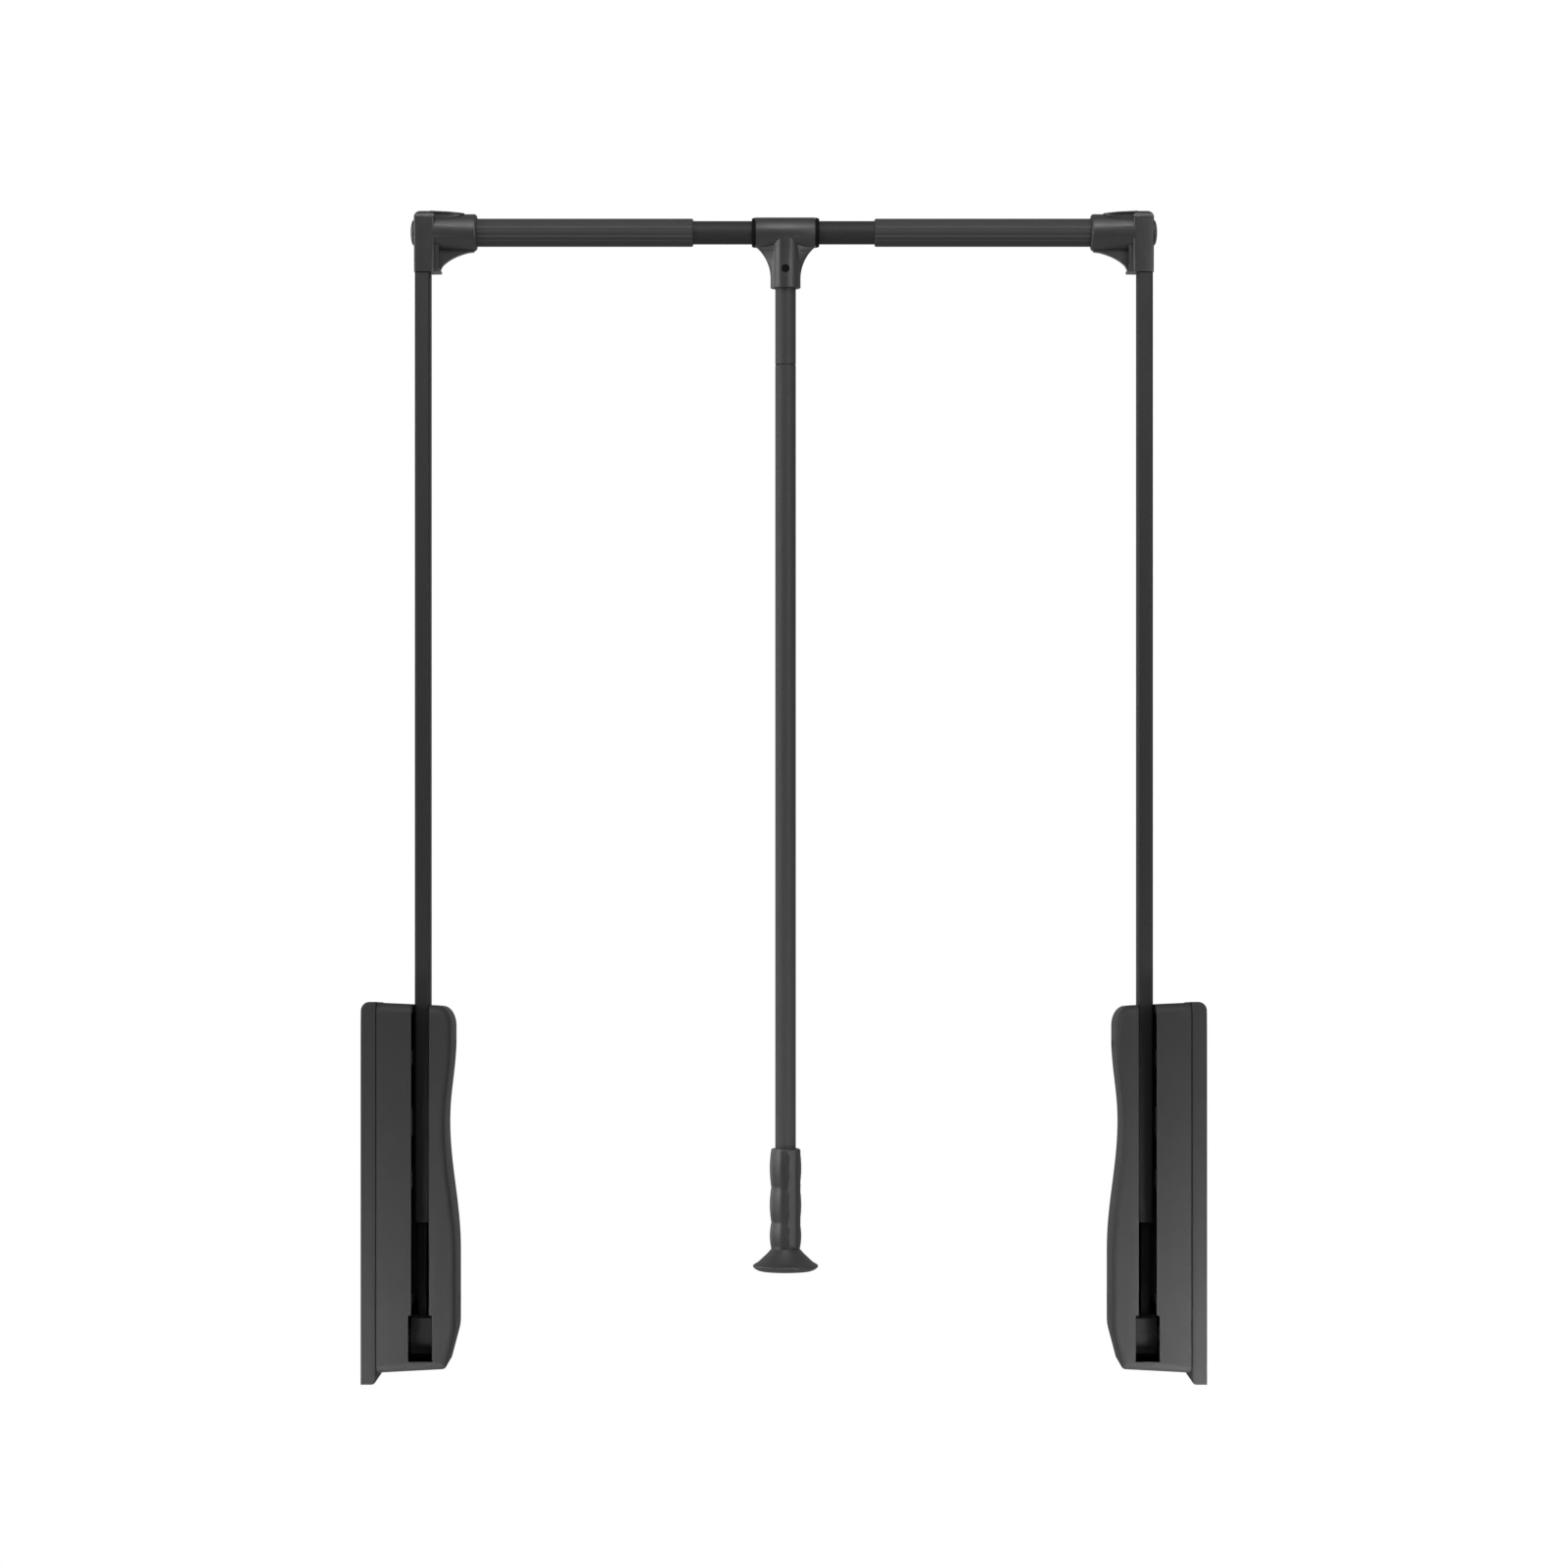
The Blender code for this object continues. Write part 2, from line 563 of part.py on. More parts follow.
def side_cover(side, frame):
    cover = cover_form(f"{side}_side_cover", frame, 0, PARTS)
    hollow = cover_form(f"{side}_cover_hollow", frame, COVER_WALL, CUTTERS)
    far = COVER_FACE + CUT_OVERRUN
    cheek = SLOT_WIDTH / 2 + CHEEK_WALL
    seat = PLATE_THICKNESS + COVER_SCREW_SEAT

    def walls(bm):
        add_box(bm, (ARM_FROM_WALL - cheek, -UNIT_FRONT - CUT_OVERRUN, CHEEK_FOOT),
                (ARM_FROM_WALL + cheek, CHANNEL_BACK + CHEEK_WALL, PLATE_TOP + CUT_OVERRUN))
        add_cylinder(bm, "X", COVER_BOSS_FACE, far, (0, 0), PIVOT_RADIUS + STATIC_GAP + BOSS_WALL)
        for height in COVER_SCREWS.values():
            add_cylinder(bm, "X", PLATE_THICKNESS + STATIC_GAP, far, (SCREW_BACK, height),
                         COVER_SCREW_HEAD_RADIUS + STATIC_GAP + COVER_WALL / 2)

    def wells(bm):
        add_cylinder(bm, "X", COVER_BOSS_FACE - STATIC_GAP, COVER_BOSS_FACE + PIVOT_SOCKET_DEPTH, (0, 0),
                     PIVOT_RADIUS + STATIC_GAP)
        for height in COVER_SCREWS.values():
            add_cylinder(bm, "X", seat, far, (SCREW_BACK, height), COVER_SCREW_HEAD_RADIUS + STATIC_GAP)

    def shanks(bm):
        for height in COVER_SCREWS.values():
            add_cylinder(bm, "X", PLATE_THICKNESS - STATIC_GAP, seat + STATIC_GAP, (SCREW_BACK, height),
                         COVER_SCREW_RADIUS + STATIC_GAP, SMALL_SIDES)

    boolean(hollow, solid(f"{side}_cover_walls", frame, walls, CUTTERS), "DIFFERENCE")
    boolean(cover, hollow, "DIFFERENCE")
    half, window = SLOT_WIDTH / 2, HUB_WINDOW_WIDTH / 2
    above = PLATE_TOP + CUT_OVERRUN
    outline = [(-window, HUB_WINDOW_BOTTOM), (window, HUB_WINDOW_BOTTOM), (window, SLOT_FOOT),
               (half, SLOT_FOOT), (half, above), (-half, above), (-half, SLOT_FOOT), (-window, SLOT_FOOT)]
    outline = [(ARM_FROM_WALL + across, height) for across, height in outline]
    slot = prism(f"{side}_cover_slot", frame, [outline], -UNIT_FRONT - CUT_OVERRUN, CHANNEL_BACK, "XZ",
                 CUTTERS)
    boolean(cover, slot, "DIFFERENCE")
    boolean(cover, solid(f"{side}_cover_wells", frame, wells, CUTTERS), "DIFFERENCE")
    boolean(cover, solid(f"{side}_cover_shanks", frame, shanks, CUTTERS), "DIFFERENCE")
    return finish(cover, "moulded_plastic")


def cover_screws(side, frame):
    """Pan-head screws deep in the cover's wells, biting into the plate's bosses."""
    seat = PLATE_THICKNESS + COVER_SCREW_SEAT + STATIC_GAP
    crown = COVER_SCREW_HEAD_CROWN
    profile = [(0, COVER_SCREW_HEAD_HEIGHT), (COVER_SCREW_HEAD_RADIUS - crown, COVER_SCREW_HEAD_HEIGHT),
               (COVER_SCREW_HEAD_RADIUS, COVER_SCREW_HEAD_HEIGHT - crown), (COVER_SCREW_HEAD_RADIUS, 0),
               (COVER_SCREW_RADIUS, 0), (COVER_SCREW_RADIUS, PLATE_THICKNESS - COVER_SCREW_BITE - seat),
               (0, PLATE_THICKNESS - COVER_SCREW_BITE - COVER_SCREW_RADIUS - seat)]
    for name, height in COVER_SCREWS.items():
        place = Matrix.Translation((seat, SCREW_BACK, height)) @ TO_X
        finish(turned(f"{side}_cover_screw_{name}", frame, profile, place, SMALL_SIDES), "plated_steel")


# Side unit: pivot, crank and sprung strut

def pivot_pin(side, frame):
    """A shouldered pin between the plate's boss and the cover's boss."""
    near = PLATE_FLOOR
    tip = COVER_BOSS_FACE + PIVOT_SOCKET_DEPTH - STATIC_GAP
    profile = [(0, tip), (PIVOT_RADIUS - PIN_CHAMFER, tip), (PIVOT_RADIUS, tip - PIN_CHAMFER),
               (PIVOT_RADIUS, PIVOT_SHOULDER), (PIVOT_SHOULDER_RADIUS, PIVOT_SHOULDER),
               (PIVOT_SHOULDER_RADIUS, near), (0, near)]
    finish(turned(f"{side}_pivot_pin", frame, profile, TO_X), "plated_steel")


def swing_hub(side, frame):
    """Barrel on the pivot with a flat strap up to the tongue inside the arm tube."""
    hub = solid(f"{side}_swing_hub", frame, lambda bm: add_cylinder(
        bm, "X", HUB_WALL_SIDE, HUB_ROOM_SIDE, (0, 0), HUB_RADIUS, ROUND_SIDES))
    across, along = STRAP_WIDTH / 2, STRAP_DEPTH / 2
    strap = solid(f"{side}_hub_strap", frame, lambda bm: add_box(
        bm, (ARM_FROM_WALL - across, -along, HUB_RADIUS / 2),
        (ARM_FROM_WALL + across, along, ARM_FOOT + TONGUE_LENGTH / 4)), CUTTERS)
    tongue = prism(f"{side}_hub_tongue", frame, [arm_section(ARM_WALL + STATIC_GAP)], ARM_FOOT + STATIC_GAP,
                   ARM_FOOT + TONGUE_LENGTH, "XY", CUTTERS)
    boolean(hub, strap, "UNION")
    boolean(hub, tongue, "UNION")

    def holes(bm):
        add_cylinder(bm, "X", HUB_WALL_SIDE - CUT_OVERRUN, HUB_ROOM_SIDE + CUT_OVERRUN, (0, 0),
                     BUSH_RADIUS + STATIC_GAP)
        add_cylinder(bm, "X", HUB_WALL_SIDE - CUT_OVERRUN, HUB_WALL_SIDE + CRANK_PIN_BITE, (CRANK_Y, CRANK_Z),
                     CRANK_PIN_RADIUS + STATIC_GAP, SMALL_SIDES)
        add_cylinder(bm, "X", ARM_FROM_WALL - ARM_WIDTH, ARM_FROM_WALL + ARM_WIDTH,
                     (0, ARM_FOOT + TONGUE_LENGTH / 2), RIVET_RADIUS + STATIC_GAP, SMALL_SIDES)

    boolean(hub, solid(f"{side}_hub_holes", frame, holes, CUTTERS), "DIFFERENCE")
    finish(hub, "black_plastic")


def pivot_bushes(side, frame):
    """Two flanged bushes, one from each side of the hub, with their flanges outside."""
    bore = PIVOT_RADIUS + RUNNING_GAP
    sleeve = HUB_WIDTH / 2 - STATIC_GAP
    profile = [(bore, BUSH_FLANGE), (BUSH_FLANGE_RADIUS, BUSH_FLANGE), (BUSH_FLANGE_RADIUS, 0),
               (BUSH_RADIUS, 0), (BUSH_RADIUS, -sleeve), (bore, -sleeve)]
    room = Matrix.Translation((HUB_ROOM_SIDE + STATIC_GAP, 0, 0)) @ TO_X
    wall = Matrix.Translation((HUB_WALL_SIDE - STATIC_GAP, 0, 0)) @ TO_X.inverted()
    for name, place in (("room", room), ("wall", wall)):
        finish(turned(f"{side}_pivot_bush_{name}", frame, profile, place, closed=True), "nylon")


def crank_pin(side, frame):
    """Pin on the hub's wall side that lifts the strut as the arm comes down."""
    def build(bm):
        add_cylinder(bm, "X", STRUT_FROM_WALL - CRANK_PIN_REACH, HUB_WALL_SIDE + CRANK_PIN_BITE - STATIC_GAP,
                     (CRANK_Y, CRANK_Z), CRANK_PIN_RADIUS)
    finish(solid(f"{side}_crank_pin", frame, build), "plated_steel")


def strut_axis():
    return Matrix.Translation((STRUT_FROM_WALL, STRUT_BEHIND_AXIS, 0))


def strut_rod(side, frame):
    """Flat foot on the crank pin, spring seat, and the rod that slides in the cylinder."""
    tip = STRUT_FOOT + STRUT_ROD_LENGTH
    neck = STRUT_FOOT + STRUT_FOOT_HEIGHT
    profile = [(0, tip), (STRUT_ROD_RADIUS - PIN_CHAMFER, tip), (STRUT_ROD_RADIUS, tip - PIN_CHAMFER),
               (STRUT_ROD_RADIUS, SPRING_SEAT), (SEAT_RADIUS, SPRING_SEAT), (SEAT_RADIUS, SPRING_SEAT_HEIGHT),
               (STRUT_ROD_RADIUS, SPRING_SEAT_HEIGHT), (STRUT_ROD_RADIUS, neck), (STRUT_FOOT_RADIUS, neck),
               (STRUT_FOOT_RADIUS, STRUT_FOOT), (0, STRUT_FOOT)]
    finish(turned(f"{side}_strut_rod", frame, profile, strut_axis()), "plated_steel")


def strut_cylinder(side, frame):
    """Damper body with a spring flange and an eye for the anchor pin."""
    flange_top = SPRING_TOP + CYLINDER_FLANGE
    bore = STRUT_ROD_RADIUS + RUNNING_GAP
    bore_top = CYLINDER_FOOT + CYLINDER_BORE_DEPTH
    profile = [(0, CYLINDER_TOP), (CYLINDER_RADIUS - CYLINDER_EDGE, CYLINDER_TOP),
               (CYLINDER_RADIUS, CYLINDER_TOP - CYLINDER_EDGE), (CYLINDER_RADIUS, flange_top),
               (SEAT_RADIUS, flange_top), (SEAT_RADIUS, SPRING_TOP), (CYLINDER_RADIUS, SPRING_TOP),
               (CYLINDER_RADIUS, CYLINDER_FOOT), (bore, CYLINDER_FOOT), (bore, bore_top), (0, bore_top)]
    body = turned(f"{side}_strut_cylinder", frame, profile, strut_axis())
    half = ANCHOR_EYE_RADIUS
    shank = CYLINDER_TOP - CYLINDER_RADIUS / 2
    outline = [(STRUT_BEHIND_AXIS - half, shank), (STRUT_BEHIND_AXIS + half, shank)]
    outline += arc((STRUT_BEHIND_AXIS, ANCHOR_Z), half, 0, 180, 3 * CORNER_STEPS)
    eye = prism(f"{side}_cylinder_eye", frame, [outline], STRUT_FROM_WALL - ANCHOR_EYE_WIDTH / 2,
                STRUT_FROM_WALL + ANCHOR_EYE_WIDTH / 2, "YZ", CUTTERS)
    hole = solid(f"{side}_eye_hole", frame, lambda bm: add_cylinder(
        bm, "X", 0, ARM_FROM_WALL, (STRUT_BEHIND_AXIS, ANCHOR_Z), ANCHOR_PIN_RADIUS + STATIC_GAP), CUTTERS)
    boolean(body, eye, "UNION")
    boolean(body, hole, "DIFFERENCE")
    finish(body, "coated_metal")


def anchor_pin(side, frame):
    """Headed pin that holds the cylinder's eye on the plate's boss."""
    eye = STRUT_FROM_WALL + ANCHOR_EYE_WIDTH / 2 + STATIC_GAP
    head = eye + ANCHOR_PIN_OVERHANG
    profile = [(0, head), (ANCHOR_PIN_HEAD_RADIUS, head), (ANCHOR_PIN_HEAD_RADIUS, eye),
               (ANCHOR_PIN_RADIUS, eye), (ANCHOR_PIN_RADIUS, PLATE_FLOOR), (0, PLATE_FLOOR)]
    place = Matrix.Translation((0, STRUT_BEHIND_AXIS, ANCHOR_Z)) @ TO_X
    finish(turned(f"{side}_anchor_pin", frame, profile, place), "plated_steel")


def spring_route():
    """Points down the middle of the spring's wire, with a straight end at each seat."""
    low = SPRING_SEAT + SPRING_WIRE_RADIUS + SPRING_END_GAP
    rise = SPRING_LENGTH - 2 * (SPRING_WIRE_RADIUS + SPRING_END_GAP)
    count = SPRING_TURNS * SPRING_POINTS_PER_TURN
    coil = []
    for step in range(count + 1):
        angle = 2 * math.pi * step / SPRING_POINTS_PER_TURN
        coil.append(Vector((SPRING_RADIUS * math.cos(angle), SPRING_RADIUS * math.sin(angle),
                            low + rise * step / count)))
    end = Vector((0, SPRING_END_LENGTH, 0))
    return [coil[0] - end] + coil + [coil[-1] + end]


def least_gap(route):
    """Smallest clear distance between turns of the wire."""
    apart = SPRING_POINTS_PER_TURN // 2
    spacing = min((route[i] - route[j]).length
                  for i in range(len(route)) for j in range(i + apart, len(route)))
    return spacing - 2 * SPRING_WIRE_RADIUS


def strut_spring(side, frame):
    route = spring_route()
    print(f"{side}_strut_spring least gap to itself: {1000 * least_gap(route):.2f} mm")
    curve = bpy.data.curves.new(f"{side}_strut_spring", "CURVE")
    curve.dimensions = "3D"
    curve.bevel_depth = SPRING_WIRE_RADIUS
    curve.bevel_resolution = 1
    curve.use_fill_caps = True
    spline = curve.splines.new("POLY")
    spline.points.add(len(route) - 1)
    for slot, point in zip(spline.points, route):
        slot.co = (*point, 1)
    item = new_object(f"{side}_strut_spring", curve, frame)
    item.matrix_local = strut_axis()
    finish(item, "plated_steel")


def arm_bumper(side, frame):
    """Rubber block that the raised arm rests against, at the top of the channel."""
    half = SLOT_WIDTH / 2 - STATIC_GAP
    top = COVER_TOP - BUMPER_BELOW_TOP

    def build(bm):
        add_box(bm, (ARM_FROM_WALL - half, ARM_BACK + STATIC_GAP, top - BUMPER_HEIGHT),
                (ARM_FROM_WALL + half, CHANNEL_BACK - STATIC_GAP, top))
    bumper = solid(f"{side}_arm_bumper", frame, build)
    bevel(bumper, BUMPER_EDGE)
    finish(bumper, "rubber")


# Swing arm: tube, rivet and elbow

def arm_tube(side, frame):
    tube = prism(f"{side}_arm_tube", frame, [arm_section(0), arm_section(ARM_WALL)], ARM_FOOT,
                 ELBOW_FOOT - STATIC_GAP, "XY")
    hole = solid(f"{side}_arm_rivet_hole", frame, lambda bm: add_cylinder(
        bm, "X", ARM_FROM_WALL - ARM_WIDTH, ARM_FROM_WALL + ARM_WIDTH, (0, ARM_FOOT + TONGUE_LENGTH / 2),
        RIVET_RADIUS + STATIC_GAP, SMALL_SIDES), CUTTERS)
    boolean(tube, hole, "DIFFERENCE")
    finish(tube, "coated_metal")


def arm_rivet(side, frame):
    """Flat-headed rivet through the tube and the hub's tongue."""
    face = ARM_WIDTH / 2 + STATIC_GAP
    head = face + RIVET_HEAD_HEIGHT
    profile = [(0, head), (RIVET_HEAD_RADIUS, head), (RIVET_HEAD_RADIUS, face), (RIVET_RADIUS, face),
               (RIVET_RADIUS, -face), (RIVET_HEAD_RADIUS, -face), (RIVET_HEAD_RADIUS, -head), (0, -head)]
    place = Matrix.Translation((ARM_FROM_WALL, 0, ARM_FOOT + TONGUE_LENGTH / 2)) @ TO_X
    finish(turned(f"{side}_arm_rivet", frame, profile, place, SMALL_SIDES), "plated_steel")


def elbow_web_outline():
    """Side web of the elbow: a low ridge above the socket and a hollow-curved gusset below it."""
    foot_edge = ELBOW_INNER + WEB_FOOT
    below = RAIL_HEIGHT - SOCKET_RADIUS
    reach = SOCKET_MOUTH - foot_edge - STATIC_GAP
    gusset = arc((SOCKET_MOUTH - STATIC_GAP, ELBOW_FOOT + WEB_FOOT), (reach, below - ELBOW_FOOT - WEB_FOOT),
                 180, 90, WEB_STEPS)
    inside = ELBOW_INNER - ELBOW_EDGE
    points = [(inside, ELBOW_FOOT + STATIC_GAP), (foot_edge, ELBOW_FOOT + STATIC_GAP)] + gusset
    points += [(SOCKET_MOUTH - STATIC_GAP, RAIL_HEIGHT),
               (SOCKET_MOUTH - WEB_TOP_SETBACK, RAIL_HEIGHT + SOCKET_RADIUS - STATIC_GAP),
               (ELBOW_INNER, RAIL_HEIGHT + SOCKET_RADIUS + WEB_TOP_RISE),
               (inside, RAIL_HEIGHT + SOCKET_RADIUS)]
    return points


def elbow(side, frame):
    """Corner moulding: spigot in the arm tube, block, socket for the rail and the web that stiffens it."""
    half = ELBOW_DEPTH / 2
    corner = solid(f"{side}_elbow", frame, lambda bm: add_box(
        bm, (ELBOW_OUTER, -half, ELBOW_FOOT), (ELBOW_INNER, half, ELBOW_HEAD)))
    bm = bmesh.new()
    bm.from_mesh(corner.data)
    upper = [e for e in bm.edges if all(v.co.z > RAIL_HEIGHT for v in e.verts)]
    bmesh.ops.bevel(bm, geom=upper, offset=ELBOW_EDGE, segments=FILLET_STEPS, profile=0.5, affect="EDGES")
    corner.data = mesh_from(bm, f"{side}_elbow")
    web = prism(f"{side}_elbow_web", frame, [elbow_web_outline()], -WEB_THICKNESS / 2, WEB_THICKNESS / 2,
                "XZ", CUTTERS)
    spigot = prism(f"{side}_elbow_spigot", frame, [arm_section(ARM_WALL + STATIC_GAP)],
                   ELBOW_FOOT - ELBOW_SPIGOT_LENGTH, ELBOW_FOOT + ELBOW_EDGE, "XY", CUTTERS)

    def socket(bm):
        add_cylinder(bm, "X", ELBOW_INNER - ELBOW_EDGE, SOCKET_MOUTH, (0, RAIL_HEIGHT), SOCKET_RADIUS,
                     ROUND_SIDES)

    def bores(bm):
        add_cylinder(bm, "X", ELBOW_INNER + SOCKET_FLOOR, SOCKET_MOUTH + CUT_OVERRUN, (0, RAIL_HEIGHT),
                     RAIL_OUTER_RADIUS + STATIC_GAP, ROUND_SIDES)
        add_cylinder(bm, "X", ELBOW_OUTER - CUT_OVERRUN, BOLT_SEAT + STATIC_GAP, (0, RAIL_HEIGHT),
                     BOLT_HEAD_RADIUS + STATIC_GAP)

    def bolt_hole(bm):
        add_cylinder(bm, "X", BOLT_SEAT, RAIL_START, (0, RAIL_HEIGHT), BOLT_RADIUS + STATIC_GAP)

    boolean(corner, solid(f"{side}_elbow_socket", frame, socket, CUTTERS), "UNION")
    boolean(corner, web, "UNION")
    boolean(corner, spigot, "UNION")
    boolean(corner, solid(f"{side}_elbow_bores", frame, bores, CUTTERS), "DIFFERENCE")
    boolean(corner, solid(f"{side}_elbow_bolt_hole", frame, bolt_hole, CUTTERS), "DIFFERENCE")
    finish(corner, "moulded_plastic")


def elbow_bolt(side, frame):
    """Bolt from under the cap, through the block, into the rail's plug."""
    head = BOLT_SEAT - BOLT_HEAD_HEIGHT
    tip = PLUG_END - PLUG_TIP - STATIC_GAP
    profile = [(0, tip), (BOLT_RADIUS - PIN_CHAMFER, tip), (BOLT_RADIUS, tip - PIN_CHAMFER),
               (BOLT_RADIUS, BOLT_SEAT), (BOLT_HEAD_RADIUS, BOLT_SEAT), (BOLT_HEAD_RADIUS, head), (0, head)]
    place = Matrix.Translation((0, 0, RAIL_HEIGHT)) @ TO_X
    finish(turned(f"{side}_elbow_bolt", frame, profile, place), "plated_steel")


def elbow_cap(side, frame):
    """Domed cap over the bolt head, with a stem in the bolt's counterbore."""
    stem = min(CAP_STEM_LENGTH, BOLT_HEAD_SINK - 2 * STATIC_GAP)
    rim = STATIC_GAP
    bulge = arc((0, rim + CAP_RIM), (CAP_RADIUS, CAP_DOME - CAP_RIM), 90, 0, CORNER_STEPS + 1)
    profile = bulge + [(CAP_RADIUS, rim), (BOLT_HEAD_RADIUS - STATIC_GAP, rim),
                       (BOLT_HEAD_RADIUS - STATIC_GAP, -stem), (0, -stem)]
    profile[0] = (0, rim + CAP_DOME)
    place = Matrix.Translation((ELBOW_OUTER, 0, RAIL_HEIGHT)) @ TO_X.inverted()
    finish(turned(f"{side}_elbow_cap", frame, profile, place, ROUND_SIDES), "moulded_plastic")


# Telescopic rail

def rail_plug(side, frame):
    """Plug in the rail's outer end that the elbow bolt screws into."""
    radius = RAIL_BORE - STATIC_GAP
    bore = BOLT_RADIUS + STATIC_GAP
    bore_end = PLUG_END - PLUG_TIP
    profile = [(0, PLUG_END), (radius - PLUG_TIP / 2, PLUG_END), (radius, PLUG_END - PLUG_TIP / 2),
               (radius, RAIL_START), (bore, RAIL_START), (bore, bore_end), (0, bore_end)]
    place = Matrix.Translation((0, 0, RAIL_HEIGHT)) @ TO_X
    finish(turned(f"{side}_rail_plug", frame, profile, place), "moulded_plastic")


def fluted_circle(radius, height):
    """Flats and shallow grooves by turns round a tube."""
    points = []
    half_pitch = math.pi / RAIL_FLUTES
    flank = FLUTE_FLANK / (2 * radius)
    for flute in range(RAIL_FLUTES):
        start = 2 * half_pitch * flute
        for from_start, level in ((flank, radius), (half_pitch - flank, radius),
                                  (half_pitch + flank, radius - FLUTE_DEPTH),
                                  (2 * half_pitch - flank, radius - FLUTE_DEPTH)):
            angle = start + from_start
            points.append((level * math.cos(angle), height + level * math.sin(angle)))
    return points


def rail_outer_tube(side, frame):
    bore = arc((0, RAIL_HEIGHT), RAIL_BORE, 0, 360, ROUND_SIDES)[:-1]
    tube = prism(f"{side}_rail_outer_tube", frame, [fluted_circle(RAIL_OUTER_RADIUS, RAIL_HEIGHT), bore],
                 RAIL_START, RAIL_MIDDLE - RAIL_HALF_GAP, "YZ")
    finish(tube, "coated_metal")


def tube_profile(outer, wall, top, bottom):
    return [(outer, top), (outer, bottom), (outer - wall, bottom), (outer - wall, top)]


def rail_inner_tube(frame):
    half = RAIL_MIDDLE - PLUG_END - RAIL_END_GAP
    place = Matrix.Translation((RAIL_MIDDLE, 0, RAIL_HEIGHT)) @ TO_X
    profile = tube_profile(RAIL_INNER_RADIUS, RAIL_INNER_WALL, half, -half)
    finish(turned("rail_inner_tube", frame, profile, place, ROUND_SIDES, closed=True), "coated_metal")


def tee_collars(hanger):
    """Rings on the inner tube that keep the tee in its place along the rail."""
    near = TEE_LENGTH / 2 + STATIC_GAP
    wall = COLLAR_RADIUS - RAIL_INNER_RADIUS - STATIC_GAP
    profile = tube_profile(COLLAR_RADIUS, wall, near + COLLAR_WIDTH, near)
    for name, turn in (("right", TO_X), ("left", TO_X.inverted())):
        finish(turned(f"tee_collar_{name}", hanger, profile, turn, ROUND_SIDES, closed=True), "black_plastic")


# Pull rod, in the frame of the hanger on the rail axis

def tee_web_outline():
    """Hollow-curved gussets between the barrel and the stem, both sides."""
    half = TEE_LENGTH / 2
    barrel, stem = TEE_RADIUS - TEE_WEB_SINK, STEM_RADIUS - TEE_WEB_SINK
    right = arc((half, -TEE_WEB_DROP), (half - stem, TEE_WEB_DROP - barrel), 90, 180, WEB_STEPS)
    left = [(-across, height) for across, height in reversed(right)]
    return [(half, 0)] + right + left + [(-half, 0)]


def pull_tee(hanger):
    tee = solid("pull_tee", hanger, lambda bm: add_cylinder(
        bm, "X", -TEE_LENGTH / 2, TEE_LENGTH / 2, (0, 0), TEE_RADIUS, ROUND_SIDES))
    stem = solid("tee_stem", hanger, lambda bm: add_cylinder(
        bm, "Z", -STEM_DROP, 0, (0, 0), STEM_RADIUS, ROUND_SIDES), CUTTERS)
    web = prism("tee_web", hanger, [tee_web_outline()], -TEE_WEB_THICKNESS / 2, TEE_WEB_THICKNESS / 2,
                "XZ", CUTTERS)
    screw_seat = STEM_RADIUS - ROD_SCREW_SINK - ROD_SCREW_HEAD_HEIGHT

    def bore(bm):
        add_cylinder(bm, "X", -TEE_LENGTH, TEE_LENGTH, (0, 0), RAIL_INNER_RADIUS + TEE_BORE_GAP, ROUND_SIDES)
        add_cylinder(bm, "Z", -STEM_DROP - CUT_OVERRUN, -ROD_TOP_DROP + STATIC_GAP, (0, 0),
                     ROD_RADIUS + STATIC_GAP, ROUND_SIDES)
        add_cylinder(bm, "Y", -STEM_RADIUS - CUT_OVERRUN, -screw_seat, (0, -ROD_SCREW_DROP),
                     ROD_SCREW_HEAD_RADIUS + STATIC_GAP, SMALL_SIDES)

    def shank(bm):
        add_cylinder(bm, "Y", -STEM_RADIUS, 0, (0, -ROD_SCREW_DROP), ROD_SCREW_RADIUS + STATIC_GAP,
                     SMALL_SIDES)

    boolean(tee, stem, "UNION")
    boolean(tee, web, "UNION")
    boolean(tee, solid("tee_bores", hanger, bore, CUTTERS), "DIFFERENCE")
    boolean(tee, solid("tee_screw_hole", hanger, shank, CUTTERS), "DIFFERENCE")
    finish(tee, "moulded_plastic")


def rod_screw(hanger):
    """Screw that fixes the rod in the tee's stem."""
    under_head = STEM_RADIUS - ROD_SCREW_SINK - ROD_SCREW_HEAD_HEIGHT + STATIC_GAP
    head = under_head + ROD_SCREW_HEAD_HEIGHT
    tip = ROD_BORE - ROD_SCREW_RADIUS
    profile = [(0, head), (ROD_SCREW_HEAD_RADIUS, head), (ROD_SCREW_HEAD_RADIUS, under_head),
               (ROD_SCREW_RADIUS, under_head), (ROD_SCREW_RADIUS, tip + ROD_SCREW_RADIUS), (0, tip)]
    place = Matrix.Translation((0, 0, -ROD_SCREW_DROP)) @ TO_FRONT
    finish(turned("rod_screw", hanger, profile, place, SMALL_SIDES), "black_plastic")


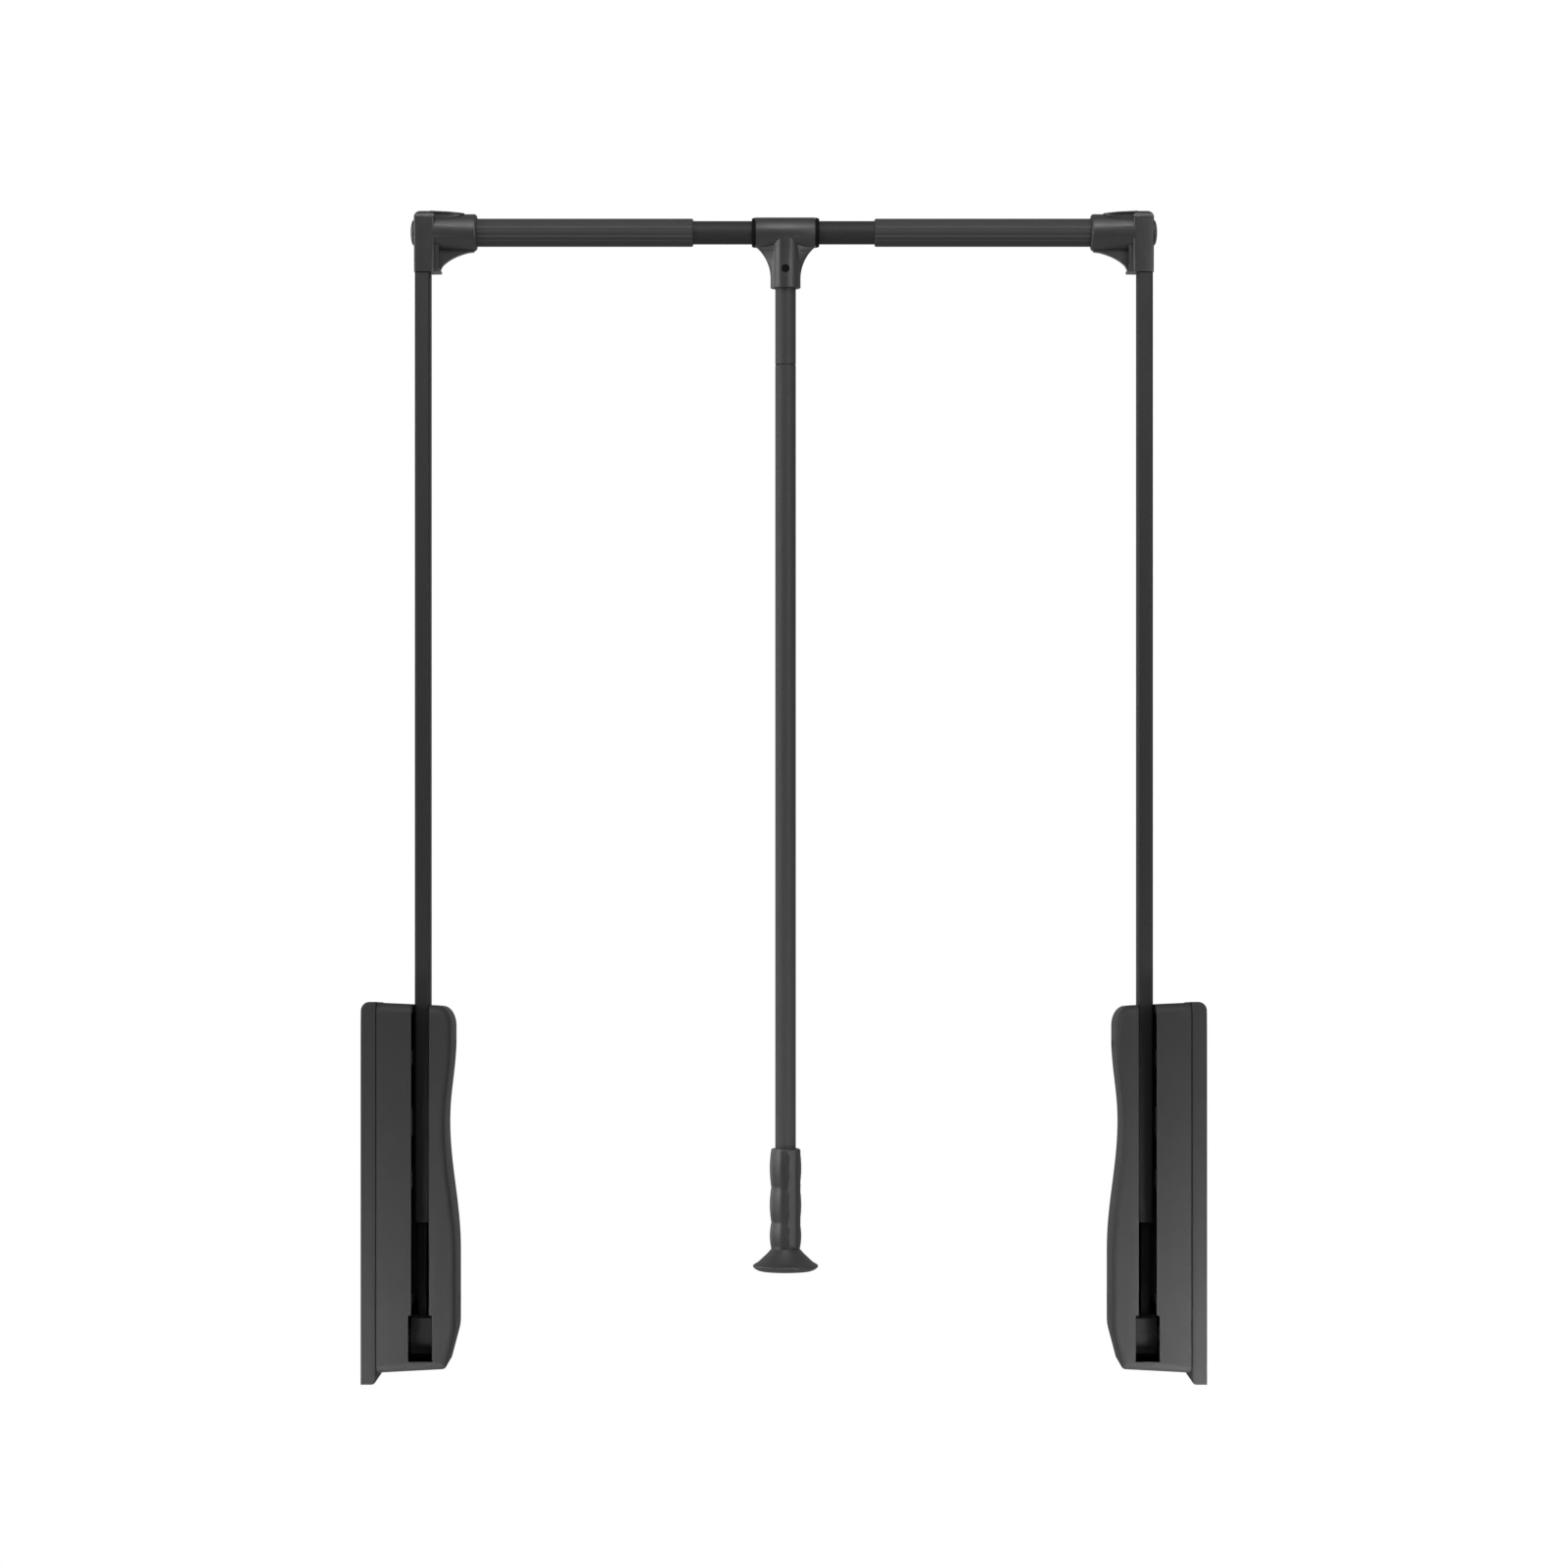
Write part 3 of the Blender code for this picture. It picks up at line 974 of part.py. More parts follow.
def pull_rods(hanger):
    """Upper and lower rod tubes, butted on a joiner that sits inside both."""
    split = -ROD_JOINT_DROP
    foot = -GRIP_TOP_DROP - GRIP_BORE_DEPTH + STATIC_GAP
    level = Matrix.Identity(4)
    upper = tube_profile(ROD_RADIUS, ROD_WALL, -ROD_TOP_DROP, split + STATIC_GAP / 2)
    upper = turned("pull_rod_upper", hanger, upper, level, ROUND_SIDES, closed=True)
    hole = solid("rod_screw_hole", hanger, lambda bm: add_cylinder(
        bm, "Y", -STEM_RADIUS, 0, (0, -ROD_SCREW_DROP), ROD_SCREW_RADIUS + STATIC_GAP, SMALL_SIDES), CUTTERS)
    boolean(upper, hole, "DIFFERENCE")
    lower = tube_profile(ROD_RADIUS, ROD_WALL, split - STATIC_GAP / 2, foot)
    lower = turned("pull_rod_lower", hanger, lower, level, ROUND_SIDES, closed=True)
    half, radius = JOINER_LENGTH / 2, ROD_BORE - STATIC_GAP
    chamfer = ROD_WALL / 2
    profile = [(0, half), (radius - chamfer, half), (radius, half - chamfer), (radius, chamfer - half),
               (radius - chamfer, -half), (0, -half)]
    joiner = turned("rod_joiner", hanger, profile, Matrix.Translation((0, 0, split)))
    finish(upper, "coated_metal")
    finish(lower, "coated_metal")
    finish(joiner, "moulded_plastic")


def grip_profile():
    """Outer side of the grip from the top down: finger bulges, cone, rim and foot."""
    height = -GRIP_TOP_DROP
    points = []
    above = GRIP_TOP_RADIUS
    for length in GRIP_BULGE_LENGTHS:
        for step in range(GRIP_BULGE_STEPS):
            share = step / GRIP_BULGE_STEPS
            neck = above + (GRIP_NECK_RADIUS - above) * share
            swell = (GRIP_BULGE_RADIUS - neck) * math.sin(math.pi * share)
            points.append((neck + swell, height - length * share))
        height -= length
        above = GRIP_NECK_RADIUS
    points.append((GRIP_NECK_RADIUS, height))
    height -= GRIP_CONE_HEIGHT
    points.append((GRIP_CONE_RADIUS, height))
    height -= GRIP_RIM_DROP
    foot = height - GRIP_FOOT_DROP
    points += [(GRIP_RIM_RADIUS, height), (GRIP_FOOT_RADIUS, foot), (0, foot)]
    return points


def handle_grip(hanger):
    bore = ROD_RADIUS + STATIC_GAP
    floor = -GRIP_TOP_DROP - GRIP_BORE_DEPTH
    profile = [(0, floor), (bore, floor), (bore, -GRIP_TOP_DROP)] + grip_profile()
    finish(turned("handle_grip", hanger, profile, Matrix.Identity(4), ROUND_SIDES), "moulded_plastic")


def build_side(side, frame):
    """Every piece of one side unit and its arm, in the side frame."""
    for piece in (wall_plate, side_cover, cover_screws, pivot_pin, swing_hub, pivot_bushes, crank_pin,
                  strut_rod, strut_cylinder, anchor_pin, strut_spring, arm_bumper, arm_tube, arm_rivet,
                  elbow, elbow_bolt, elbow_cap, rail_plug, rail_outer_tube):
        piece(side, frame)


clear_scene()
PARTS = new_collection("pull_down_wardrobe_rail")
CUTTERS = new_collection("cutters")
assembly = new_empty("assembly")
build_side("left", new_empty("left_side", assembly))
build_side("right", new_empty("right_side", assembly, (OVERALL_WIDTH, 0, 0), mirrored=True))
rail_inner_tube(assembly)
hanger_axis = new_empty("hanger_axis", assembly, (RAIL_MIDDLE + TEE_OFF_CENTRE, 0, RAIL_HEIGHT))
tee_collars(hanger_axis)
pull_tee(hanger_axis)
rod_screw(hanger_axis)
pull_rods(hanger_axis)
handle_grip(hanger_axis)
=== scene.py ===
"""Looks of the pull-down wardrobe rail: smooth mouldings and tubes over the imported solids, soft studio light.

Lengths are in metres. X runs from the left wall plate to the right one, Y to the back, and Z up from the arms'
pivots. The left side is modelled, and the right side is its mirror image about the rail's middle.
"""

import math

import bpy
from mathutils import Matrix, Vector


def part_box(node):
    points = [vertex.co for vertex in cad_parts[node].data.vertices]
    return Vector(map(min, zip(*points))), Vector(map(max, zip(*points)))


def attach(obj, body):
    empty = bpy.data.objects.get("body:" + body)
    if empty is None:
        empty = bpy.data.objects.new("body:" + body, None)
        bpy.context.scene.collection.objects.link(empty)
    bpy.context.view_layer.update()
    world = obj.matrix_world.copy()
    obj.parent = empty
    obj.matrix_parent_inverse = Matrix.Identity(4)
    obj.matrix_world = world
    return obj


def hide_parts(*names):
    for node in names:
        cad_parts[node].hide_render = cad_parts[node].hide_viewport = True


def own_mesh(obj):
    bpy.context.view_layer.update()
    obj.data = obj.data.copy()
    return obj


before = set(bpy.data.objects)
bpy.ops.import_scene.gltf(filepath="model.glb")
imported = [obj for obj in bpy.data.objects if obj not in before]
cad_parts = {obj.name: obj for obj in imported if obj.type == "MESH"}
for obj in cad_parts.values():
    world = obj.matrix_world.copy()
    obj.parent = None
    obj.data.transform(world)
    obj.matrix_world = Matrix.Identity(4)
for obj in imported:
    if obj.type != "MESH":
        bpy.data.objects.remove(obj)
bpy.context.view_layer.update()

# Fineness of the modelling
TUBE_SIDES = 72
GRIP_SIDES = 96
CAP_BORE_SIDES = 48
HOLE_SIDES = 32
SMALL_HOLE_SIDES = 24
CLOSE = 0.000002
ON_PLANE = 1e-5
LEVEL = 1e-6
CUT_PAST = 0.010

# Places that several pieces share
MIDDLE = 0.300
RAIL = 0.790
ARM = 0.042
ROD = 0.3012
FRONT = -0.032
BACK = 0.034
FIT_GAP = 0.0003
DRAFT = math.tan(math.radians(2.7))
UPPER_END = 0.20
TOP_FALL = 0.0034
TOP_FALL_OVER = 0.02
COVER_SCREW_BACK = 0.0255
COVER_SCREW_HEIGHTS = (0.0250, 0.2080)
COVER_SCREW_HOLE = 0.0021
ARM_RIVET_HEIGHT = 0.103
ARM_RIVET_RADIUS = 0.0028
ARM_RIVET_REACH = 0.0108
ROD_SCREW_HEIGHT = RAIL - 0.0265
ROD_SCREW_RADIUS = 0.0017
ROD_SCREW_REACH = -0.0105

# Wall plate: a boss has a name, a place, an end, a radius and the radius of its hole
PLATE = 0.0108
PLATE_TOP = 0.2412
PLATE_FOOT = -0.0304
PLATE_TOP_CORNER = 0.0062
PLATE_FOOT_CORNER = 0.0035
PLATE_EDGE = 0.0015
PLATE_SKIN = 0.002
PLATE_DRILL_END = 0.03
PLATE_POCKET = ((0.0040, -0.0290, -0.0199), (0.0208, 0.0310, 0.2307))
PLATE_BOSSES = (("pivot", (0, 0), 0.0151, 0.0080, 0.0053), ("anchor", (0.010, 0.2163), 0.0157, 0.0060, 0.0033))
COVER_SCREW_BOSS = 0.0048
MOUNT_HOLE_PLACES = (-0.0210, 0.0245)
MOUNT_HOLE_HEIGHTS = (0.060, 0.185)
MOUNT_HOLE_RADIUS = 0.0024
MOUNT_HOLE_END = 0.008

# Side cover: a slot pocket has a foot, a head and a depth, and 0 takes it to the channel's back
COVER_TOP = 0.2408
COVER_FOOT = -0.0224
COVER_WALL = 0.0025
FACE = 0.0668
PAST_FACE = 0.0768
WAIST = 0.0077
SHOULDER = 0.0045
BELLY_TOP = 0.060
WAIST_HEIGHT = 0.153
SHOULDER_HEIGHT = 0.212
TOP_CORNER = 0.0095
TOP_CORNER_HEIGHT = 0.0138
FOOT_CORNER = 0.0036
FOOT_CHAMFER = 0.0062
FOOT_EASING = ((0.0010, 0.0025), (0.0002, 0.0065), (0, 0.0105))
TOP_FILLET = 0.0082
FOOT_FILLET = 0.75
SIDE_FILLET = 0.48
BACK_EDGE = 0.002
BACK_EDGE_FROM = PLATE + 0.001
SEAM_EDGE = 0.0010
SEAM_EDGE_TO = PLATE + 0.0004
SEAM_EDGE_BACK = BACK - 0.001
SLOT_EDGE = 0.0009
SLOT_EDGE_WITHIN = 2e-5
SLOT_HALF = 0.0064
SLOT_HEAD = 0.2513
WINDOW_HALF = 0.0085
WINDOW_FOOT = -0.0143
WINDOW_EDGE_FROM = -0.0144
WINDOW_HEAD = 0.0186
CHANNEL_BACK = 0.0170
CHEEK_HALF = 0.0099
CHEEK_FRONT = -0.042
CHEEK_FOOT = 0.026
CHEEK_WALL = 0.0035
POCKET_HALF = 0.0090
POCKET_FRONT = FRONT + 0.0030
POCKET_OVERLAP = 0.0004
SLOT_POCKETS = ((0.030, 0.108, 0), (0.1195, 0.145, 0), (0.1645, 0.196, 0), (0.2055, 0.2325, 0),
                (0.104, 0.1235, 0.008), (0.140, 0.1695, 0.010), (0.192, 0.2095, 0.008))
COVER_PIVOT_BOSS = (0.0520, 0.0073)
COVER_PIVOT_SOCKET = (0.0517, 0.0580, 0.0043)
SCREW_WELL_WALL = 0.00485
SCREW_WELL_RADIUS = 0.0036
SCREW_WELL_FLOOR = PLATE + 0.006
SCREW_SHANK_END = PLATE + 0.0063

# Swing hub
HUB_HALF = 0.0082
HUB_BORE = 0.0065
HUB_FLAT = 0.0152
HUB_RADIUS = 0.0160
HUB_EDGE = 0.0008
STRAP_LOW = (ARM - 0.0028, -0.0085, 0.0125)
STRAP_HIGH = (ARM + 0.0028, 0.0085, 0.0930)
NOSE_FRONT = -0.0146
NOSE_FRONT_EDGE = -0.014
NOSE_BACK = -0.0070
NOSE_FOOT = -0.0106
NOSE_HEAD = 0.0150
TONGUE_FOOT = 0.0833
TONGUE_LENGTH = 0.0397
CRANK = (0.00771, -0.00919)
CRANK_RADIUS = 0.0033
CRANK_DEPTH = 0.007

# Swing arm
ARM_FLAT_HALF = 0.0034
ARM_DEEP_HALF = 0.0090
ARM_CORNER = 0.0020
ARM_WALL = 0.0014
ARM_PLUG_INSET = 0.0017
ARM_FOOT = 0.0830
ARM_END_EDGE = 0.0004

# Elbow
ELBOW_OUT = 0.0361
ELBOW_IN = 0.0511
ELBOW_FOOT = 0.7612
ELBOW_HEAD = RAIL + 0.0146
ELBOW_DEPTH = 0.014
ELBOW_DRAFT = 0.0022
ELBOW_DRAFT_BELOW = RAIL - 0.02
ELBOW_TOP_EDGE = 0.0052
ELBOW_OUTER_EDGE = 0.0014
ELBOW_INNER_EDGE = 0.0028
ELBOW_CORNER_ZONE = 0.0055
ELBOW_WELD_FROM = ELBOW_IN - 0.0035
UPRIGHT = 0.01
SOCKET_RADIUS = 0.01325
SOCKET_BORE = 0.01035
SOCKET_ROOT = ELBOW_IN - 0.006
SOCKET_FLOOR = ELBOW_IN + 0.0024
SOCKET_MOUTH = 0.0806
SOCKET_LIP = 0.0021
GUSSET_HALF = 0.0035
GUSSET_TOE = ELBOW_IN + 0.0034
GUSSET_TOE_HEIGHT = 0.0022
GUSSET_END = SOCKET_MOUTH - 0.0020
GUSSET_TOP = RAIL - 0.0110
GUSSET_RISE = RAIL - SOCKET_RADIUS - ELBOW_FOOT - 0.0027
GUSSET_CURVE = ((0.06, 0.22), (0.14, 0.36), (0.24, 0.50), (0.36, 0.635), (0.50, 0.76), (0.66, 0.87), (0.82, 0.955),
                (1.0, 1.0))
RIB_END = ELBOW_IN + 0.0027
RIB_HALF = 0.0095
SOLE_END = ELBOW_IN + 0.0037
SOLE_HALF = 0.0110
SOLE_HEIGHT = 0.0020
SOLE_EDGE = 0.0006
ROOF_SIDE = ((-0.0035, -0.0118), (0.0100, -0.0105), (0.0170, -0.0080), (0.0205, -0.0045))
ROOF_REACH = 0.0205
ROOF_FALL = 0.0010
ROOF_UNDER = 0.0011
ROOF_THICKNESS = 0.0010
WEB_SHARE = 0.86
WEB_FOOT = 0.0070
WEB_HEIGHT = ELBOW_HEAD - RAIL - 0.0076
SPIGOT_DROP = 0.030
SPIGOT_LENGTH = 0.0335
CAP_BORE_END = ELBOW_OUT + 0.0068
CAP_BORE_RADIUS = 0.0053
BOLT_HOLE_START = ELBOW_OUT + 0.0065
BOLT_HOLE_END = 0.0538
BOLT_HOLE_RADIUS = 0.0033
CAP_RADIUS = 0.0090
CAP_RISE = 0.0021
CAP_RIM = 0.0010
CAP_PLUG_RADIUS = 0.0047
CAP_PLUG_DEPTH = 0.0018

# Telescopic rail
OUTER_TUBE_START = 0.0538
OUTER_TUBE_END = MIDDLE - 0.0648
OUTER_TUBE_BORE = 0.0087
FLUTES = 18
FLUTE_CREST = 0.01005
FLUTE_ROOT = 0.00975
FLUTE_POINTS = ((0.05, FLUTE_CREST), (0.25, FLUTE_CREST), (0.45, FLUTE_CREST), (0.55, FLUTE_ROOT),
                (0.75, FLUTE_ROOT), (0.95, FLUTE_ROOT))
ROLLED_END = 0.0012
ROLLED_FROM = 0.0013
ROLLED_STEPS = ((0.0006, 0.985), (0.0004, 0.955), (0.0002, 0.93))
INNER_TUBE_RADIUS = 0.00835
INNER_TUBE_RIM = 0.00805
INNER_TUBE_BORE = 0.00715
TUBE_EDGE = 0.0003
COLLAR_PROFILE = ((0.00865, 0.0213), (0.0108, 0.0213), (0.0107, 0.0223), (0.0104, 0.0233), (0.0101, 0.0239),
                  (0.0097, 0.0241), (0.00865, 0.0241), (0.00865, 0.0213))

# Pull rod
TEE_HALF = 0.0212
TEE_RADIUS = 0.0109
TEE_EDGE = 0.0002
TEE_BORE = 0.00875
TEE_BORE_REACH = 0.05
STEM_RADIUS = 0.0105
STEM_FOOT = RAIL - 0.040
STEM_TOP = RAIL - 0.003
STEM_EDGE = 0.0006
STEM_EDGE_BELOW = RAIL - 0.039
STEM_ROD_HOLE = 0.0077
STEM_ROD_HOLE_FOOT = RAIL - 0.05
STEM_ROD_HOLE_TOP = RAIL - 0.0142
SCREW_HEAD_HOLE = (-0.0205, -0.0079, 0.0029)
WEB_CORE = 0.0084
WEB_CORE_WITHIN = 0.0001
WEB_LOW = -0.0396
WEB_STEP = 0.0012
WEB_STEPS = 31
WEB_TOP = -0.0036
WEB_SWEEP = 0.0300
WEB_SWEEP_FROM = 0.0330
WEB_SWEEP_RISE = 0.0225
WEB_REACH = 0.01075
WEB_EDGE = 0.0020
ROD_RADIUS = 0.0074
ROD_RIM = 0.0071
ROD_BORE = 0.0062
ROD_PARTS = (("upper", RAIL - 0.0145, RAIL - 0.09435), ("lower", RAIL - 0.09465, RAIL - 0.7149))

# Grip
GRIP_TOP = RAIL - 0.6552
GRIP_BORE = 0.0077
GRIP_BORE_DEPTH = 0.060
GRIP_MOUTH = ((0.0096, 0), (0.01015, 0.0006))
GRIP_NECK = 0.01020
GRIP_PLAIN = 0.0098
GRIP_BLEND = 0.002
GRIP_MOUTH_ZONE = 0.0004
BULGE = 0.0113
BULGE_LENGTHS = (0.0277, 0.0252, 0.0188)
BULGE_STEPS = 17
BULGE_FULLNESS = 0.85
FOOT_CONE = ((0.0113, 0.0012), (0.0133, 0.0035), (0.0162, 0.0062), (0.0186, 0.0085), (0.0202, 0.0098),
             (0.0220, 0.0108), (0.0231, 0.0116), (0.0234, 0.0123), (0.0232, 0.0130), (0.0222, 0.0140),
             (0.0206, 0.0150), (0.0190, 0.0156), (0.0, 0.0156))
SPINE_EDGE = math.radians(15)
SPINE_END = math.radians(75)
SPINE_TURN = math.radians(24)
SPINE_FLAT = 0.0109
FINGER_FLAT = 0.0111
FINGER_END = math.radians(-100)
SHOULDER_TURN = math.radians(-38)
SHOULDER_FLAT = 0.0108
FLAT_REACH = math.radians(60)
EASE = 26

# Strut spring
SPRING_WIRE = 0.0009
SPRING_WIRE_SIDES = 12
SPRING_COIL = 0.0085
SPRING_COIL_SIDES = 32
SPRING_TURNS = 10
SPRING_PITCH = 0.01252
SPRING_FOOT = 0.0127

# Finishes: where noise is spread from and to, how far gloss varies, and the painted shade that darkens the hub's
# strap above the barrel, where it stands in the slot
NOISE_LOW = 0.3
NOISE_HIGH = 0.7
GLOSS_BELOW = 0.03
GLOSS_ABOVE = 0.04
PAINTED_SHADE_FROM = 0.0160
PAINTED_SHADE_FADE = 0.0005
PAINTED_SHADE_SHARE = 0.22

# Studio
AIR_FILL = 0.235
AIR_NEAR_CAMERA = 0.45
AIR_DIM_TO = -0.4
SCREEN_EDGE = math.cos(math.radians(10))
SCREEN_FULL = math.cos(math.radians(4))
FLOOR_REACH = 2.6
FLOOR_LEVEL = -1.25
FLOOR_SIDES = 96
FLOOR_FADE_FROM = 0.3
FLOOR_FADE_TO = 0.97
FLOOR_GLOW = 0.55
CAMERA_PLACE = (0.3001, -3.374, 0.3956)
CAMERA_LENS = 108.26
CAMERA_SENSOR = 36


# Modelling steps

def let_go():
    """Back to object mode with nothing selected."""
    if bpy.context.mode != "OBJECT":
        bpy.ops.object.mode_set(mode="OBJECT")
    bpy.ops.object.select_all(action="DESELECT")


def take(piece):
    """Selects one piece and makes it the active one."""
    let_go()
    piece.select_set(True)
    bpy.context.view_layer.objects.active = piece


def added(name):
    """Names the primitive that was just added and puts its place into its mesh."""
    piece = bpy.context.object
    piece.name = piece.data.name = name
    bpy.ops.object.transform_apply(location=True, rotation=True, scale=True)
    return piece


def block(name, low, high):
    """Box between two corners."""
    let_go()
    middle = [(a + b) / 2 for a, b in zip(low, high)]
    bpy.ops.mesh.primitive_cube_add(size=1, location=middle, scale=[b - a for a, b in zip(low, high)])
    return added(name)


def bar(name, axis, start, end, at, radius, sides=TUBE_SIDES):
    """Round bar along X, Y or Z through the point at of the other two."""
    let_go()
    middle = list(at)
    middle.insert("XYZ".index(axis), (start + end) / 2)
    turn = {"X": (0, math.pi / 2, 0), "Y": (math.pi / 2, 0, 0), "Z": (0, 0, 0)}[axis]
    bpy.ops.mesh.primitive_cylinder_add(vertices=sides, radius=radius, depth=end - start, location=middle,
                                        rotation=turn)
    return added(name)


def draw(name, points):
    """A line through points, drawn vertex by vertex, left selected in edit mode."""
    let_go()
    bpy.ops.mesh.primitive_plane_add(size=1)
    piece = added(name)
    bpy.ops.object.mode_set(mode="EDIT")
    bpy.ops.mesh.select_mode(type="VERT")
    bpy.ops.mesh.select_all(action="SELECT")
    bpy.ops.mesh.merge(type="CENTER")
    bpy.ops.transform.translate(value=points[0])
    for start, end in zip(points, points[1:]):
        step = Vector(end) - Vector(start)
        bpy.ops.mesh.extrude_vertices_move(TRANSFORM_OT_translate={"value": step})
    bpy.ops.mesh.select_all(action="SELECT")
    return piece


def slab(name, points, along):
    """A flat outline, filled and pushed along a direction."""
    piece = draw(name, points)
    bpy.ops.mesh.edge_face_add()
    bpy.ops.mesh.extrude_region_move(TRANSFORM_OT_translate={"value": along})
    bpy.ops.mesh.select_all(action="SELECT")
    bpy.ops.mesh.normals_make_consistent(inside=False)
    let_go()
    return piece


def turned(name, outline, axis, at, sides=TUBE_SIDES):
    """Outline of (radius, distance along the axis), turned right round X or Z through at."""
    at = Vector(at)
    if axis == "X":
        points = [at + Vector((along, 0, radius)) for radius, along in outline]
    else:
        points = [at + Vector((radius, 0, along)) for radius, along in outline]
    piece = draw(name, points)
    about = (1, 0, 0) if axis == "X" else (0, 0, 1)
    bpy.ops.mesh.spin(steps=sides, angle=2 * math.pi, center=at, axis=about)
    bpy.ops.mesh.select_all(action="SELECT")
    bpy.ops.mesh.remove_doubles(threshold=CLOSE)
    bpy.ops.mesh.normals_make_consistent(inside=False)
    let_go()
    return piece


def arc(centre, radius, start, end, steps):
    """Points on a circle, or on an ellipse if the radius is a pair, from one angle to another, in degrees."""
    wide, high = radius if isinstance(radius, tuple) else (radius, radius)
    angles = [math.radians(start + (end - start) * i / steps) for i in range(steps + 1)]
    return [(centre[0] + wide * math.cos(a), centre[1] + high * math.sin(a)) for a in angles]


def apply(piece, step):
    """Applies one of a piece's modifiers."""
    take(piece)
    bpy.ops.object.modifier_apply(modifier=step.name)


def carve(piece, tool, operation="DIFFERENCE"):
    """Cuts a tool out of a piece, or welds it on, and throws the tool away."""
    step = piece.modifiers.new("carve", "BOOLEAN")
    step.object = tool
    step.operation = operation
    step.solver = "EXACT"
    apply(piece, step)
    bpy.data.objects.remove(tool, do_unlink=True)


def weld(piece, tool):
    """Welds a tool onto a piece."""
    carve(piece, tool, "UNION")


def pick_edges(piece, chosen):
    """Selects the edges whose two ends pass a test, and goes into edit mode."""
    take(piece)
    bpy.ops.object.mode_set(mode="EDIT")
    bpy.ops.mesh.select_mode(type="EDGE")
    bpy.ops.mesh.select_all(action="DESELECT")
    bpy.ops.object.mode_set(mode="OBJECT")
    ends = piece.data.vertices
    for edge in piece.data.edges:
        edge.select = chosen(ends[edge.vertices[0]].co, ends[edge.vertices[1]].co)
    bpy.ops.object.mode_set(mode="EDIT")


def round_over(piece, radius, steps, chosen):
    """Rounds the edges whose two ends pass a test."""
    pick_edges(piece, chosen)
    bpy.ops.mesh.bevel(offset=radius, segments=steps, profile=0.5, affect="EDGES", clamp_overlap=True)
    let_go()


def merge_close(piece):
    """Joins the points that a cut left almost on top of each other."""
    take(piece)
    bpy.ops.object.mode_set(mode="EDIT")
    bpy.ops.mesh.select_mode(type="VERT")
    bpy.ops.mesh.select_all(action="SELECT")
    bpy.ops.mesh.remove_doubles(threshold=CLOSE)
    let_go()


def smooth(piece, angle=32):
    """Shades a piece smooth, except over edges sharper than an angle in degrees."""
    take(piece)
    bpy.ops.object.shade_smooth_by_angle(angle=math.radians(angle))
    let_go()
    return piece


def mirrored(piece, name):
    """The same moulding for the other side of the wardrobe, with its own mesh."""
    take(piece)
    bpy.ops.object.duplicate(linked=False)
    twin = bpy.context.object
    twin.name = twin.data.name = name
    bpy.ops.object.mode_set(mode="EDIT")
    bpy.ops.mesh.select_all(action="SELECT")
    bpy.ops.transform.resize(value=(-1, 1, 1), center_override=(MIDDLE, 0, 0))
    bpy.ops.mesh.flip_normals()
    let_go()
    return twin


def fit(piece, finish, body, slot, *nodes):
    """Gives a piece its finish, and puts it in the place of its solids on their body."""
    piece.data.materials.clear()
    piece.data.materials.append(finish)
    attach(piece, body)
    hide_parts(*nodes)


def fit_pair(piece, finish, body, slot, node):
    """A left piece and its mirror image on the right."""
    twin = mirrored(piece, piece.name.replace("left", "right"))
    fit(piece, finish, f"left_{body}", slot, f"left_{node}")
    fit(twin, finish, f"right_{body}", slot, f"right_{node}")


# Finishes

def new_finish(name):
    """A new material with its nodes and links."""
    finish = bpy.data.materials.new(name)
    finish.use_nodes = True
    return finish, finish.node_tree.nodes, finish.node_tree.links


def specks(nodes, links, scale, detail, stretch=(1, 1, 1)):
    """Noise fixed to the piece, with specks of about 1/scale metres."""
    place = nodes.new("ShaderNodeTexCoord")
    sizing = nodes.new("ShaderNodeMapping")
    sizing.inputs["Scale"].default_value = stretch
    noise = nodes.new("ShaderNodeTexNoise")
    noise.inputs["Scale"].default_value = scale
    noise.inputs["Detail"].default_value = detail
    links.new(place.outputs["Object"], sizing.inputs["Vector"])
    links.new(sizing.outputs["Vector"], noise.inputs["Vector"])
    return noise.outputs["Fac"]


def between(nodes, links, source, low, high):
    """Spreads a noise over a range of values."""
    ranging = nodes.new("ShaderNodeMapRange")
    ranging.inputs["From Min"].default_value = NOISE_LOW
    ranging.inputs["From Max"].default_value = NOISE_HIGH
    ranging.inputs["To Min"].default_value = low
    ranging.inputs["To Max"].default_value = high
    links.new(source, ranging.inputs["Value"])
    return ranging.outputs["Result"]


def tones(nodes, links, source, dark, light):
    """Spreads a noise over two close tones."""
    ramp = nodes.new("ShaderNodeValToRGB")
    ramp.color_ramp.elements[0].position = NOISE_LOW
    ramp.color_ramp.elements[1].position = NOISE_HIGH
    ramp.color_ramp.elements[0].color = (*dark, 1)
    ramp.color_ramp.elements[1].color = (*light, 1)
    links.new(source, ramp.inputs["Fac"])
    return ramp.outputs["Color"]


def raised(nodes, links, source, height, strength, under=None):
    """Bumps of a height in metres, on top of other bumps if there are any."""
    bump = nodes.new("ShaderNodeBump")
    bump.inputs["Distance"].default_value = height
    bump.inputs["Strength"].default_value = strength
    links.new(source, bump.inputs["Height"])
    if under:
        links.new(under, bump.inputs["Normal"])
    return bump.outputs["Normal"]


def painted_shade_above(nodes, links, colour, height):
    """Keeps a tone up to a height on the piece, and a darker share of it above: painted shade on the strap, standing
    in for the slot's shade.
    """
    place, split, step, shade = (nodes.new(f"ShaderNode{kind}")
                                 for kind in ("TexCoord", "SeparateXYZ", "MapRange", "VectorMath"))
    links.new(place.outputs["Object"], split.inputs["Vector"])
    links.new(split.outputs["Z"], step.inputs["Value"])
    for side, value in (("From Min", height), ("From Max", height + PAINTED_SHADE_FADE), ("To Min", 1.0),
                        ("To Max", PAINTED_SHADE_SHARE)):
        step.inputs[side].default_value = value
    shade.operation = "SCALE"
    links.new(colour, shade.inputs[0])
    links.new(step.outputs["Result"], shade.inputs["Scale"])
    return shade.outputs["Vector"]


